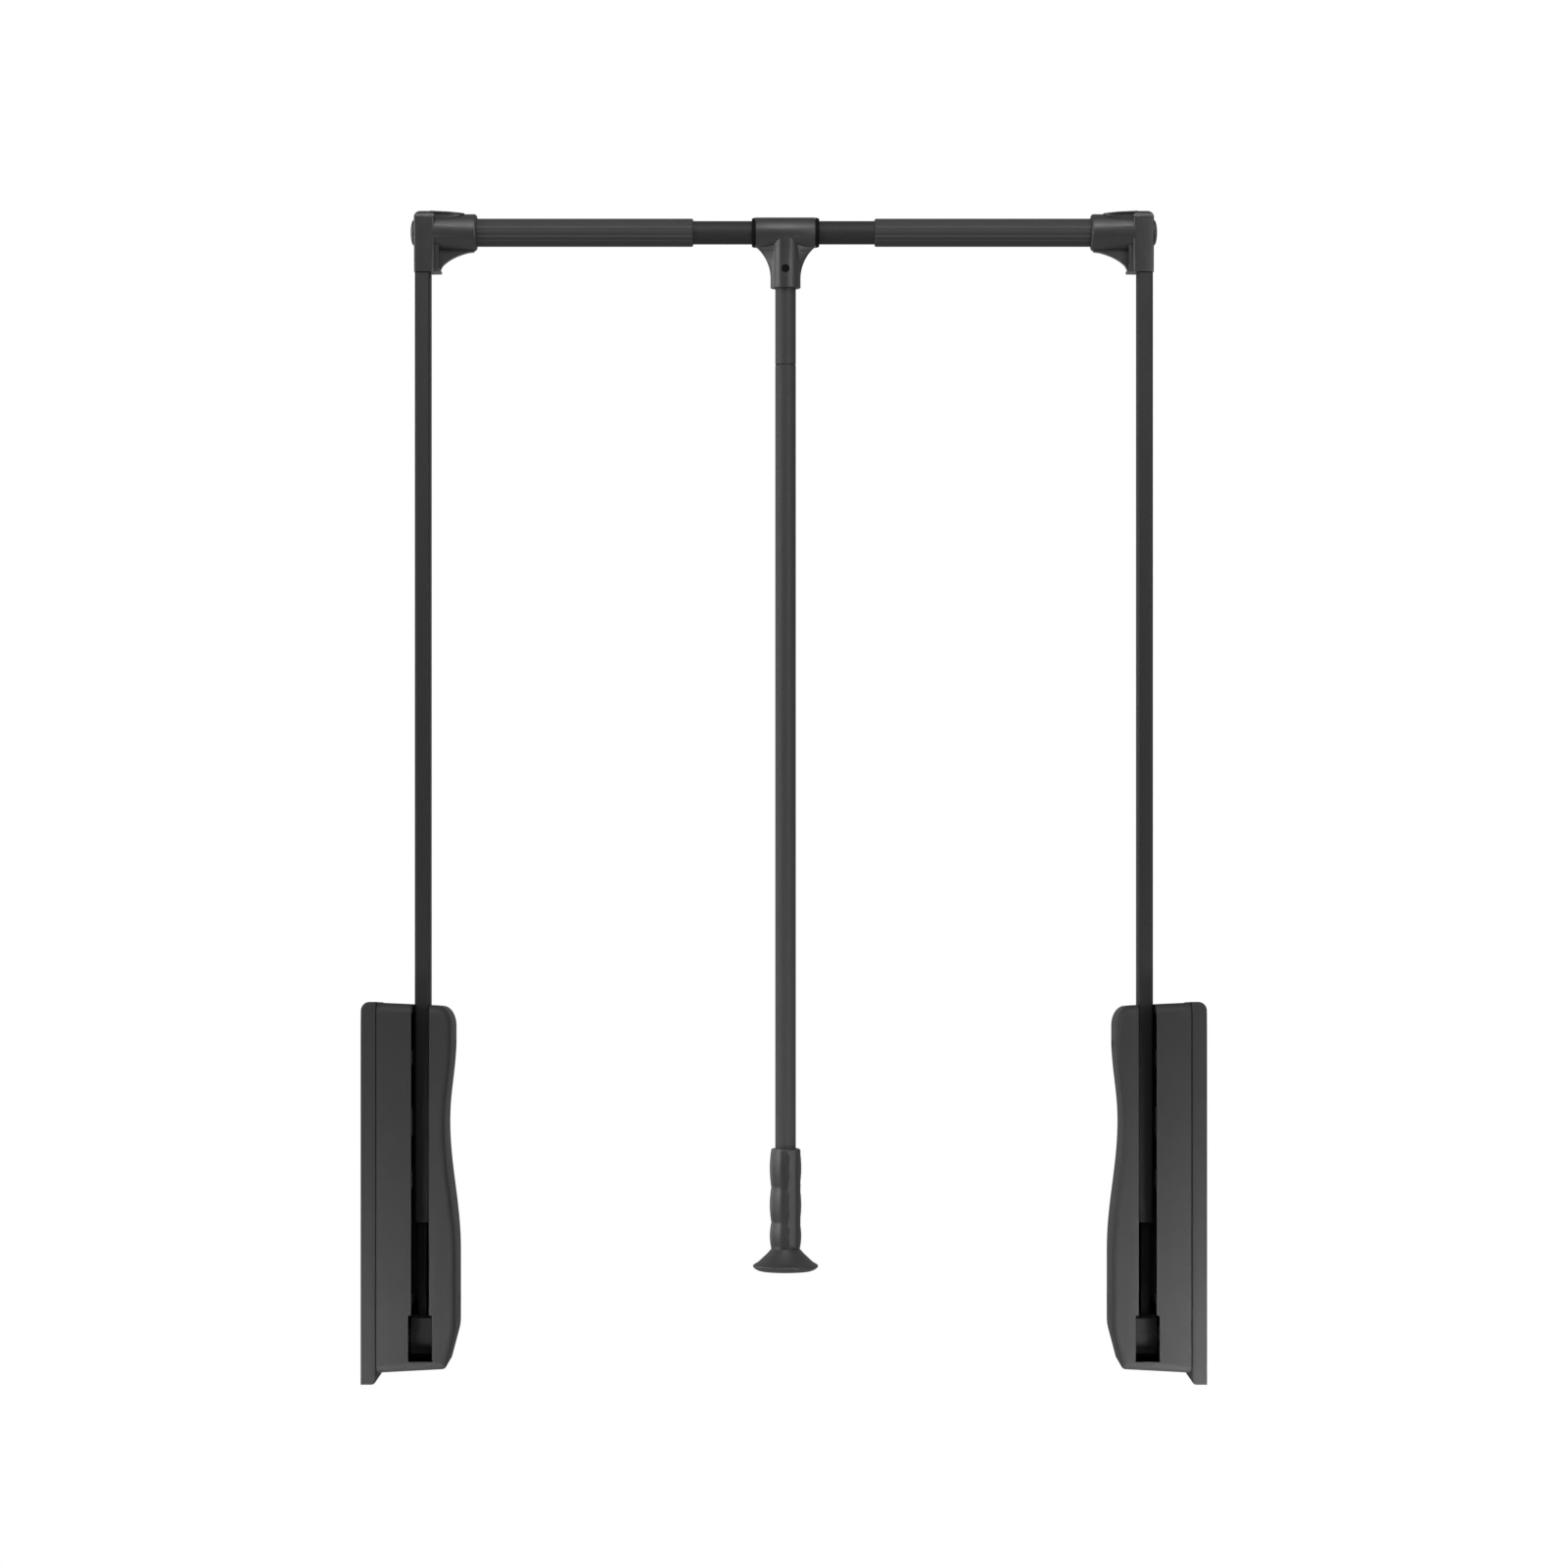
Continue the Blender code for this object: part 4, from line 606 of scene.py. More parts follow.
def mottled_gloss(nodes, links, gloss, scale):
    """Roughness that varies a little about its middle value."""
    mottle = specks(nodes, links, scale, detail=3)
    return between(nodes, links, mottle, low=gloss - GLOSS_BELOW, high=gloss + GLOSS_ABOVE)


def moulded_plastic(name, dark, light, gloss, shine=0.45, skin=0.0, painted_shade_from=None):
    """Grey moulding with a fine spark-eroded grain and the faint cloudiness of flow in the mould."""
    finish, nodes, links = new_finish(name)
    shader = nodes["Principled BSDF"]
    grain = specks(nodes, links, scale=2600, detail=3)
    cloud = specks(nodes, links, scale=38, detail=2)
    colour = tones(nodes, links, cloud, dark, light)
    # Painted shade: the tone is darkened above a height, for the strap that stands in the slot's shade.
    if painted_shade_from is not None:
        colour = painted_shade_above(nodes, links, colour, painted_shade_from)
    links.new(colour, shader.inputs["Base Color"])
    links.new(mottled_gloss(nodes, links, gloss, scale=140), shader.inputs["Roughness"])
    links.new(raised(nodes, links, grain, height=0.00002, strength=0.22), shader.inputs["Normal"])
    shader.inputs["Specular IOR Level"].default_value = shine
    shader.inputs["Coat Weight"].default_value = skin
    shader.inputs["Coat Roughness"].default_value = gloss
    return finish


def powder_coat(name, dark, light, gloss):
    """Baked powder paint on metal: soft orange peel under a fine sandy grain."""
    finish, nodes, links = new_finish(name)
    shader = nodes["Principled BSDF"]
    peel = raised(nodes, links, specks(nodes, links, scale=420, detail=2), height=0.00003, strength=0.12)
    sand = raised(nodes, links, specks(nodes, links, scale=3400, detail=2), height=0.00001, strength=0.2, under=peel)
    flecks = specks(nodes, links, scale=900, detail=4)
    links.new(tones(nodes, links, flecks, dark, light), shader.inputs["Base Color"])
    links.new(mottled_gloss(nodes, links, gloss, scale=60), shader.inputs["Roughness"])
    links.new(sand, shader.inputs["Normal"])
    shader.inputs["Specular IOR Level"].default_value = 0.45
    return finish


def zinc_plate(name):
    """Zinc-plated steel, drawn along its length, a little cloudy."""
    finish, nodes, links = new_finish(name)
    shader = nodes["Principled BSDF"]
    cloud = specks(nodes, links, scale=420, detail=4)
    links.new(tones(nodes, links, cloud, dark=(0.42, 0.43, 0.45), light=(0.60, 0.60, 0.61)),
              shader.inputs["Base Color"])
    links.new(between(nodes, links, cloud, low=0.26, high=0.42), shader.inputs["Roughness"])
    drawn = specks(nodes, links, scale=900, detail=2, stretch=(0.15, 1, 1))
    links.new(raised(nodes, links, drawn, height=0.00002, strength=0.2), shader.inputs["Normal"])
    shader.inputs["Metallic"].default_value = 1.0
    return finish


def nylon_natural(name):
    """Natural nylon: milky, slightly waxy."""
    finish, nodes, links = new_finish(name)
    shader = nodes["Principled BSDF"]
    cloud = specks(nodes, links, scale=300, detail=2)
    links.new(tones(nodes, links, cloud, dark=(0.60, 0.58, 0.53), light=(0.72, 0.71, 0.67)),
              shader.inputs["Base Color"])
    links.new(between(nodes, links, cloud, low=0.42, high=0.55), shader.inputs["Roughness"])
    grain = specks(nodes, links, scale=1800, detail=2)
    links.new(raised(nodes, links, grain, height=0.00002, strength=0.2), shader.inputs["Normal"])
    return finish


def bumper_rubber(name):
    """Matt black rubber with a dusty bloom."""
    finish, nodes, links = new_finish(name)
    shader = nodes["Principled BSDF"]
    bloom = specks(nodes, links, scale=260, detail=4)
    links.new(tones(nodes, links, bloom, dark=(0.010, 0.010, 0.010), light=(0.024, 0.024, 0.024)),
              shader.inputs["Base Color"])
    links.new(between(nodes, links, bloom, low=0.72, high=0.9), shader.inputs["Roughness"])
    grain = specks(nodes, links, scale=1500, detail=3)
    links.new(raised(nodes, links, grain, height=0.00004, strength=0.4), shader.inputs["Normal"])
    return finish


GREY_PLASTIC = moulded_plastic("grey_moulded_plastic", dark=(0.0255, 0.0255, 0.0259), light=(0.0280, 0.0280, 0.0284),
                               gloss=0.43, shine=0.95, skin=0.45)
GRAINED_PLASTIC = moulded_plastic("grained_grey_plastic", dark=(0.0374, 0.0374, 0.0379),
                                  light=(0.0399, 0.0399, 0.0404), gloss=0.56, shine=0.46)
BLACK_PLASTIC = moulded_plastic("black_moulded_plastic", dark=(0.0040, 0.0040, 0.0040),
                                light=(0.0055, 0.0055, 0.0055), gloss=0.60, shine=0.15)
# The hub's plastic is darker above the barrel: painted shade on the strap in the slot.
HUB_PLASTIC = moulded_plastic("hub_plastic_painted_shade", dark=(0.0270, 0.0270, 0.0273), light=(0.0295, 0.0295, 0.0298),
                              gloss=0.60, shine=0.30, painted_shade_from=PAINTED_SHADE_FROM)
GREY_COAT = powder_coat("grey_powder_coat", dark=(0.0290, 0.0290, 0.0294), light=(0.0330, 0.0330, 0.0335), gloss=0.56)
TUBE_COAT = powder_coat("tube_powder_coat", dark=(0.0590, 0.0590, 0.0597), light=(0.0650, 0.0650, 0.0658), gloss=0.50)
ZINC = zinc_plate("zinc_plated_steel")
NYLON = nylon_natural("natural_nylon")
RUBBER = bumper_rubber("bumper_rubber")


# Side unit

def fall_away(piece):
    """Lowers the back of a top end, so that the top slopes off behind the front."""
    for place in piece.data.vertices:
        if place.co.z > UPPER_END and place.co.y > 0:
            place.co.z -= TOP_FALL * min(1.0, (place.co.z - UPPER_END) / TOP_FALL_OVER)


def wall_plate():
    """Plate against the wardrobe's side: rounded top corner, small foot radius, pocket, bosses and screw holes."""
    outline = [(0, PLATE_FOOT)]
    outline += arc((PLATE - PLATE_FOOT_CORNER, PLATE_FOOT + PLATE_FOOT_CORNER), PLATE_FOOT_CORNER, -90, 0, 8)
    outline += [(PLATE, PLATE_TOP)]
    outline += arc((PLATE_TOP_CORNER, PLATE_TOP - PLATE_TOP_CORNER), PLATE_TOP_CORNER, 90, 180, 12)
    plate = slab("left_wall_plate_body", [(x, FRONT, z) for x, z in outline], (0, BACK - FRONT, 0))
    fall_away(plate)
    for face in (FRONT, BACK):
        round_over(plate, PLATE_EDGE, 3, lambda a, b: abs(a.y - face) < ON_PLANE and abs(b.y - face) < ON_PLANE
                   and max(a.x, b.x) > ON_PLANE)
    carve(plate, block("pocket", *PLATE_POCKET))
    for name, at, end, radius, _ in PLATE_BOSSES:
        weld(plate, bar(f"{name}_boss", "X", PLATE_SKIN, end, at, radius, HOLE_SIDES))
    for name, at, _, _, hole in PLATE_BOSSES:
        carve(plate, bar(f"{name}_hole", "X", PLATE_SKIN, PLATE_DRILL_END, at, hole, HOLE_SIDES))
    for height in COVER_SCREW_HEIGHTS:
        at = (COVER_SCREW_BACK, height)
        weld(plate, bar("screw_boss", "X", PLATE_SKIN, PLATE, at, COVER_SCREW_BOSS, SMALL_HOLE_SIDES))
        carve(plate, bar("screw_hole", "X", PLATE_SKIN, PLATE_DRILL_END, at, COVER_SCREW_HOLE, SMALL_HOLE_SIDES))
    for place in MOUNT_HOLE_PLACES:
        for height in MOUNT_HOLE_HEIGHTS:
            carve(plate, bar("mount_hole", "X", -CUT_PAST, MOUNT_HOLE_END, (place, height), MOUNT_HOLE_RADIUS,
                             HOLE_SIDES))
    fit_pair(smooth(plate), GRAINED_PLASTIC, "side_unit", "moulded_plastic", "wall_plate")


def cover_face(height):
    """The cover's wavy inner face: flat belly, drawn-in waist, shoulder near the top."""
    def swing(low, high):
        return (1 - math.cos(math.pi * (height - low) / (high - low))) / 2
    if height <= BELLY_TOP:
        return FACE
    if height <= WAIST_HEIGHT:
        return FACE - WAIST * swing(BELLY_TOP, WAIST_HEIGHT)
    return FACE - WAIST + SHOULDER * swing(WAIST_HEIGHT, SHOULDER_HEIGHT)


def cover_outline(inset):
    """Front view of the cover, drawn in by inset on all sides but the seam."""
    seam = PLATE + FIT_GAP if inset == 0 else PLATE - CUT_PAST
    corner, foot = TOP_CORNER - inset, FOOT_CORNER - inset
    chamfer = FACE - FOOT_CHAMFER - inset

    def bottom(across):
        return COVER_FOOT + inset + DRAFT * (across - PLATE)

    def top(across):
        return COVER_TOP - inset - DRAFT * (across - PLATE)

    points = [(seam, bottom(seam))]
    points += arc((chamfer - foot, bottom(chamfer - foot) + foot), foot, -87, -16, 10)
    points += [(FACE - inset - short, height) for short, height in FOOT_EASING]
    for low, high, steps in ((BELLY_TOP, WAIST_HEIGHT, 18), (WAIST_HEIGHT, SHOULDER_HEIGHT, 12)):
        heights = [low + (high - low) * i / steps for i in range(steps)]
        points += [(cover_face(height) - inset, height) for height in heights]
    shoulder = cover_face(SHOULDER_HEIGHT) - inset
    corner_foot = top(shoulder) - TOP_CORNER_HEIGHT
    points += [(shoulder, SHOULDER_HEIGHT)]
    points += arc((shoulder - corner, corner_foot), (corner, top(shoulder - corner) - corner_foot), 0, 90, 12)
    points += [(seam, top(seam))]
    return points


def cover_form(name, inset, steps):
    """Outer or inner form of the cover: drafted front, and a fillet round it that is widest at the top."""
    front = FRONT + inset
    form = slab(name, [(x, BACK - inset, z) for x, z in cover_outline(inset)], (0, front - BACK + inset, 0))
    fall_away(form)
    for place in form.data.vertices:
        if place.co.y < 0:
            place.co.y += DRAFT * (place.co.x - PLATE)
    seam = min(place.co.x for place in form.data.vertices)
    ends = form.data.vertices
    weights = form.data.attributes.new("bevel_weight_edge", "FLOAT", "EDGE")
    for edge, weight in zip(form.data.edges, weights.data):
        a, b = (ends[i].co for i in edge.vertices)
        if a.y < 0 and b.y < 0 and max(a.x, b.x) > seam + ON_PLANE:
            level = abs(a.x - b.x) / (a - b).length
            end_fillet = 1.0 if a.z > UPPER_END else FOOT_FILLET
            weight.value = SIDE_FILLET + (end_fillet - SIDE_FILLET) * level
    step = form.modifiers.new("fillet", "BEVEL")
    step.limit_method = "WEIGHT"
    step.width = TOP_FILLET - inset
    step.segments = steps
    step.use_clamp_overlap = False
    apply(form, step)
    return form


def cover_hollow():
    """Inside of the cover, less the slot's cheeks, the pivot boss and the screw wells."""
    hollow = cover_form("hollow", COVER_WALL, 3)
    carve(hollow, block("cheeks", (ARM - CHEEK_HALF, CHEEK_FRONT, CHEEK_FOOT),
                        (ARM + CHEEK_HALF, CHANNEL_BACK + CHEEK_WALL, SLOT_HEAD)))
    boss_face, boss_radius = COVER_PIVOT_BOSS
    carve(hollow, bar("pivot_boss", "X", boss_face, PAST_FACE, (0, 0), boss_radius, HOLE_SIDES))
    for height in COVER_SCREW_HEIGHTS:
        carve(hollow, bar("screw_well", "X", PLATE + FIT_GAP, PAST_FACE, (COVER_SCREW_BACK, height), SCREW_WELL_WALL,
                          HOLE_SIDES))
    return hollow


def side_cover():
    """Moulded cover with the slot that the arm swings through."""
    cover = cover_form("left_side_cover_moulding", 0, 8)
    round_over(cover, BACK_EDGE, 3, lambda a, b: min(a.y, b.y) > BACK - ON_PLANE and max(a.x, b.x) > BACK_EDGE_FROM)
    round_over(cover, SEAM_EDGE, 3, lambda a, b: max(a.x, b.x) < SEAM_EDGE_TO and max(a.y, b.y) < SEAM_EDGE_BACK)
    carve(cover, cover_hollow())
    slot = [(-WINDOW_HALF, WINDOW_FOOT), (WINDOW_HALF, WINDOW_FOOT), (WINDOW_HALF, WINDOW_HEAD),
            (SLOT_HALF, WINDOW_HEAD), (SLOT_HALF, SLOT_HEAD), (-SLOT_HALF, SLOT_HEAD), (-SLOT_HALF, WINDOW_HEAD),
            (-WINDOW_HALF, WINDOW_HEAD)]
    carve(cover, slab("slot", [(ARM + x, FRONT - CUT_PAST, z) for x, z in slot],
                      (0, CHANNEL_BACK - FRONT + CUT_PAST, 0)))
    for low, high, depth in SLOT_POCKETS:
        behind = FRONT + depth if depth else CHANNEL_BACK
        carve(cover, block("pocket", (ARM - POCKET_HALF, POCKET_FRONT, low),
                           (ARM - SLOT_HALF + POCKET_OVERLAP, behind, high)))
    socket_start, socket_end, socket_radius = COVER_PIVOT_SOCKET
    carve(cover, bar("pivot_socket", "X", socket_start, socket_end, (0, 0), socket_radius, HOLE_SIDES))
    for height in COVER_SCREW_HEIGHTS:
        at = (COVER_SCREW_BACK, height)
        carve(cover, bar("well", "X", SCREW_WELL_FLOOR, PAST_FACE, at, SCREW_WELL_RADIUS, HOLE_SIDES))
        carve(cover, bar("shank", "X", PLATE - FIT_GAP, SCREW_SHANK_END, at, COVER_SCREW_HOLE, SMALL_HOLE_SIDES))

    def slot_edge(a, b):
        return all(abs(p.y - FRONT - DRAFT * (p.x - PLATE)) < SLOT_EDGE_WITHIN
                   and abs(p.x - ARM) < WINDOW_HALF + SLOT_EDGE_WITHIN and p.z > WINDOW_EDGE_FROM for p in (a, b))

    round_over(cover, SLOT_EDGE, 3, slot_edge)
    take(cover)
    bpy.ops.object.mode_set(mode="EDIT")
    bpy.ops.mesh.select_all(action="SELECT")
    bpy.ops.mesh.quads_convert_to_tris(quad_method="BEAUTY", ngon_method="CLIP")
    fit_pair(smooth(cover), GRAINED_PLASTIC, "side_unit", "moulded_plastic", "side_cover")


def swing_hub():
    """Barrel on the pivot with a flat front, and the strap that goes up into the arm."""
    low, high = ARM - HUB_HALF, ARM + HUB_HALF
    hub = turned("left_swing_hub_barrel", [(HUB_BORE, low), (HUB_FLAT, low), (HUB_RADIUS, low + HUB_EDGE),
                                           (HUB_RADIUS, high - HUB_EDGE), (HUB_FLAT, high), (HUB_BORE, high),
                                           (HUB_BORE, low)], "X", (0, 0, 0))
    weld(hub, block("strap", STRAP_LOW, STRAP_HIGH))
    nose = block("nose", (low + FIT_GAP, NOSE_FRONT, NOSE_FOOT), (high - FIT_GAP, NOSE_BACK, NOSE_HEAD))
    round_over(nose, HUB_EDGE, 2, lambda a, b: max(a.y, b.y) < NOSE_FRONT_EDGE)
    weld(hub, nose)
    section = arm_section(ARM_PLUG_INSET)
    weld(hub, slab("tongue", [(x, y, TONGUE_FOOT) for x, y in section], (0, 0, TONGUE_LENGTH)))
    carve(hub, bar("crank_hole", "X", low - CUT_PAST, low + CRANK_DEPTH, CRANK, CRANK_RADIUS, SMALL_HOLE_SIDES))
    carve(hub, arm_rivet_hole())
    fit_pair(smooth(hub), HUB_PLASTIC, "arm", "black_plastic", "swing_hub")


# Swing arm

def arm_section(inset):
    """The arm tube's rounded rectangle seen from above, drawn in by inset."""
    points = []
    for turn, (side, face) in enumerate(((1, 1), (-1, 1), (-1, -1), (1, -1))):
        centre = (ARM + side * ARM_FLAT_HALF, face * ARM_DEEP_HALF)
        points += arc(centre, ARM_CORNER - inset, 90 * turn, 90 * turn + 90, 6)
    return points


def arm_rivet_hole():
    """Hole for the rivet that holds the arm on the hub's tongue."""
    return bar("rivet_hole", "X", ARM - ARM_RIVET_REACH, ARM + ARM_RIVET_REACH, (0, ARM_RIVET_HEIGHT),
               ARM_RIVET_RADIUS, SMALL_HOLE_SIDES)


def arm_tube():
    """Flat oval tube from the hub's tongue to the elbow."""
    head = ELBOW_FOOT - FIT_GAP
    tube = slab("left_arm_tube_wall", [(x, y, ARM_FOOT) for x, y in arm_section(0)], (0, 0, head - ARM_FOOT))
    bore = slab("bore", [(x, y, ARM_FOOT - CUT_PAST) for x, y in arm_section(ARM_WALL)],
                (0, 0, head - ARM_FOOT + 2 * CUT_PAST))
    round_over(tube, ARM_END_EDGE, 2, lambda a, b: abs(a.z - b.z) < LEVEL)
    carve(tube, bore)
    carve(tube, arm_rivet_hole())
    fit_pair(smooth(tube), GREY_COAT, "arm", "coated_metal", "arm_tube")


def elbow_block():
    """The elbow's block over the arm: drafted to its foot, wide rounding on top."""
    corner = block("left_elbow_moulding", (ELBOW_OUT, -ELBOW_DEPTH, ELBOW_FOOT), (ELBOW_IN, ELBOW_DEPTH, ELBOW_HEAD))
    for place in corner.data.vertices:
        if place.co.z < ELBOW_DRAFT_BELOW:
            place.co.y *= (ELBOW_DEPTH - ELBOW_DRAFT) / ELBOW_DEPTH
    round_over(corner, ELBOW_TOP_EDGE, 8, lambda a, b: min(a.z, b.z) > ELBOW_HEAD - ON_PLANE)
    round_over(corner, ELBOW_OUTER_EDGE, 3, lambda a, b: abs(a.z - b.z) > UPRIGHT
               and max(a.x, b.x) < ELBOW_OUT + ELBOW_CORNER_ZONE)
    round_over(corner, ELBOW_INNER_EDGE, 5, lambda a, b: abs(a.z - b.z) > UPRIGHT
               and min(a.x, b.x) > ELBOW_IN - ELBOW_CORNER_ZONE)
    return corner


def elbow_socket():
    """The elbow's barrel for the rail, with a rounded lip; it is bored later."""
    lip = SOCKET_LIP
    outline = [(0.0, SOCKET_ROOT), (SOCKET_RADIUS, SOCKET_ROOT), (SOCKET_RADIUS, SOCKET_MOUTH - lip)]
    outline += [(SOCKET_RADIUS - lip + lip * math.cos(a), SOCKET_MOUTH - lip + lip * math.sin(a))
                for a in (math.radians(15 * i) for i in range(1, 7))]
    outline += [(0.0, SOCKET_MOUTH)]
    return turned("socket", outline, "X", (0, 0, RAIL))


def elbow_gusset():
    """Hollow-curved gusset below the socket."""
    foot, toe = ELBOW_FOOT + FIT_GAP, ELBOW_FOOT + GUSSET_TOE_HEIGHT
    outline = [(ELBOW_WELD_FROM, foot), (GUSSET_TOE, foot), (GUSSET_TOE, toe)]
    outline += [(GUSSET_TOE + (GUSSET_END - GUSSET_TOE) * along, toe + GUSSET_RISE * up)
                for along, up in GUSSET_CURVE]
    outline += [(GUSSET_END, GUSSET_TOP), (ELBOW_WELD_FROM, GUSSET_TOP)]
    return slab("gusset", [(x, -GUSSET_HALF, z) for x, z in outline], (0, 2 * GUSSET_HALF, 0))


def elbow_roof():
    """Thin roof over the socket and the narrower web that carries it, both falling away to their tip."""
    outline = [(ELBOW_IN + along, across) for along, across in ROOF_SIDE]
    outline += [(x, -y) for x, y in reversed(outline)]
    web = slab("web", [(x, WEB_SHARE * y, RAIL + WEB_FOOT) for x, y in outline], (0, 0, WEB_HEIGHT))
    lid = slab("roof", [(x, y, ELBOW_HEAD - ROOF_UNDER) for x, y in outline], (0, 0, ROOF_THICKNESS))
    for form in (web, lid):
        for place in form.data.vertices:
            place.co.z -= ROOF_FALL * max(0.0, (place.co.x - ELBOW_IN) / ROOF_REACH)
    return web, lid


def elbow():
    """Corner moulding: block over the arm, socket for the rail, thin roof above it and gusset below."""
    corner = elbow_block()
    weld(corner, elbow_socket())
    weld(corner, elbow_gusset())
    weld(corner, block("rib", (ELBOW_WELD_FROM, -RIB_HALF, ELBOW_FOOT), (RIB_END, RIB_HALF, RAIL - RIB_HALF)))
    sole = block("sole", (ELBOW_WELD_FROM, -SOLE_HALF, ELBOW_FOOT), (SOLE_END, SOLE_HALF, ELBOW_FOOT + SOLE_HEIGHT))
    round_over(sole, SOLE_EDGE, 2, lambda a, b: min(a.x, b.x) > ELBOW_IN)
    weld(corner, sole)
    for form in elbow_roof():
        weld(corner, form)
    section = arm_section(ARM_PLUG_INSET)
    weld(corner, slab("spigot", [(x, y, ELBOW_FOOT - SPIGOT_DROP) for x, y in section], (0, 0, SPIGOT_LENGTH)))
    at = (0, RAIL)
    carve(corner, bar("bore", "X", SOCKET_FLOOR, SOCKET_MOUTH + CUT_PAST, at, SOCKET_BORE))
    carve(corner, bar("counterbore", "X", ELBOW_OUT - CUT_PAST, CAP_BORE_END, at, CAP_BORE_RADIUS, CAP_BORE_SIDES))
    carve(corner, bar("bolt_hole", "X", BOLT_HOLE_START, BOLT_HOLE_END, at, BOLT_HOLE_RADIUS, HOLE_SIDES))
    merge_close(corner)
    fit_pair(smooth(corner), GREY_PLASTIC, "arm", "moulded_plastic", "elbow")


def elbow_cap():
    """Domed cap over the elbow's bolt."""
    rim, seat, plug = ELBOW_OUT - CAP_RIM, ELBOW_OUT - FIT_GAP, ELBOW_OUT + CAP_PLUG_DEPTH
    dome = [(0.0, ELBOW_OUT - CAP_RIM - CAP_RISE)]
    dome += [(CAP_RADIUS * math.sin(a), rim - CAP_RISE * math.cos(a))
             for a in (math.radians(6 * i) for i in range(1, 16))]
    dome += [(CAP_RADIUS, seat), (CAP_PLUG_RADIUS, seat), (CAP_PLUG_RADIUS, plug), (0.0, plug)]
    cap = turned("left_elbow_cap_dome", dome, "X", (0, 0, RAIL))
    fit_pair(smooth(cap), GREY_PLASTIC, "arm", "moulded_plastic", "elbow_cap")


# Telescopic rail

def rail_outer_tube():
    """Fluted tube with its inner end rolled in."""
    start, end = OUTER_TUBE_START, OUTER_TUBE_END
    points = []
    for flute in range(FLUTES):
        for share, level in FLUTE_POINTS:
            angle = math.radians(360 / FLUTES * (flute + share))
            points.append((start, level * math.cos(angle), RAIL + level * math.sin(angle)))
    tube = slab("left_rail_outer_tube_wall", points, (end - start - ROLLED_END, 0, 0))
    pick_edges(tube, lambda a, b: min(a.x, b.x) > end - ROLLED_FROM)
    bpy.ops.mesh.select_mode(type="FACE")
    for along, share in ROLLED_STEPS:
        bpy.ops.mesh.extrude_region_move(TRANSFORM_OT_translate={"value": (along, 0, 0)})
        bpy.ops.transform.resize(value=(1, share, share), center_override=(0, 0, RAIL))
    let_go()
    carve(tube, bar("bore", "X", start - CUT_PAST, end + CUT_PAST, (0, RAIL), OUTER_TUBE_BORE))
    merge_close(tube)
    fit_pair(smooth(tube, 28), TUBE_COAT, "arm", "coated_metal", "rail_outer_tube")


def tube_profile(radius, rim, bore, low, high):
    """Section of a plain tube with eased outer edges, from one end to the other and back."""
    return [(radius, low + TUBE_EDGE), (radius, high - TUBE_EDGE), (rim, high), (bore, high), (bore, low), (rim, low),
            (radius, low + TUBE_EDGE)]


def rail_inner_tube():
    """Plain tube that slides in both outer tubes."""
    low, high = (corner.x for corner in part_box("rail_inner_tube"))
    outline = tube_profile(INNER_TUBE_RADIUS, INNER_TUBE_RIM, INNER_TUBE_BORE, low, high)
    tube = turned("rail_inner_tube_wall", outline, "X", (0, 0, RAIL))
    fit(smooth(tube), GREY_COAT, "inner_rail", "coated_metal", "rail_inner_tube")


def tee_collars():
    """Black rings at both ends of the tee."""
    for name, side in (("left", -1), ("right", 1)):
        ring = turned(f"tee_collar_{name}_ring", [(radius, side * along) for radius, along in COLLAR_PROFILE], "X",
                      (ROD, 0, RAIL))
        fit(smooth(ring), BLACK_PLASTIC, "inner_rail", "black_plastic", f"tee_collar_{name}")


# Pull rod

def flare(web):
    """Spreads a round web into hollow-curved gussets under the barrel."""
    for place in web.data.vertices:
        across, level = place.co.x - ROD, place.co.z - RAIL
        if math.hypot(across, place.co.y) < WEB_CORE - WEB_CORE_WITHIN:
            continue
        rise = min(max(level + WEB_SWEEP_FROM, 0.0), WEB_SWEEP_RISE)
        reach = WEB_REACH + WEB_SWEEP - math.sqrt(WEB_SWEEP * WEB_SWEEP - rise * rise) - WEB_EDGE
        lean = math.atan2(place.co.y, across)
        if reach * abs(math.cos(lean)) + WEB_EDGE > WEB_CORE:
            place.co.x = ROD + math.copysign(reach, across) + WEB_EDGE * math.cos(lean)
            place.co.y = WEB_EDGE * math.sin(lean)


def rod_screw_hole():
    """Hole for the screw that holds the rod in the tee's stem."""
    return bar("screw_hole", "Y", ROD_SCREW_REACH, 0, (ROD, ROD_SCREW_HEIGHT), ROD_SCREW_RADIUS, SMALL_HOLE_SIDES)


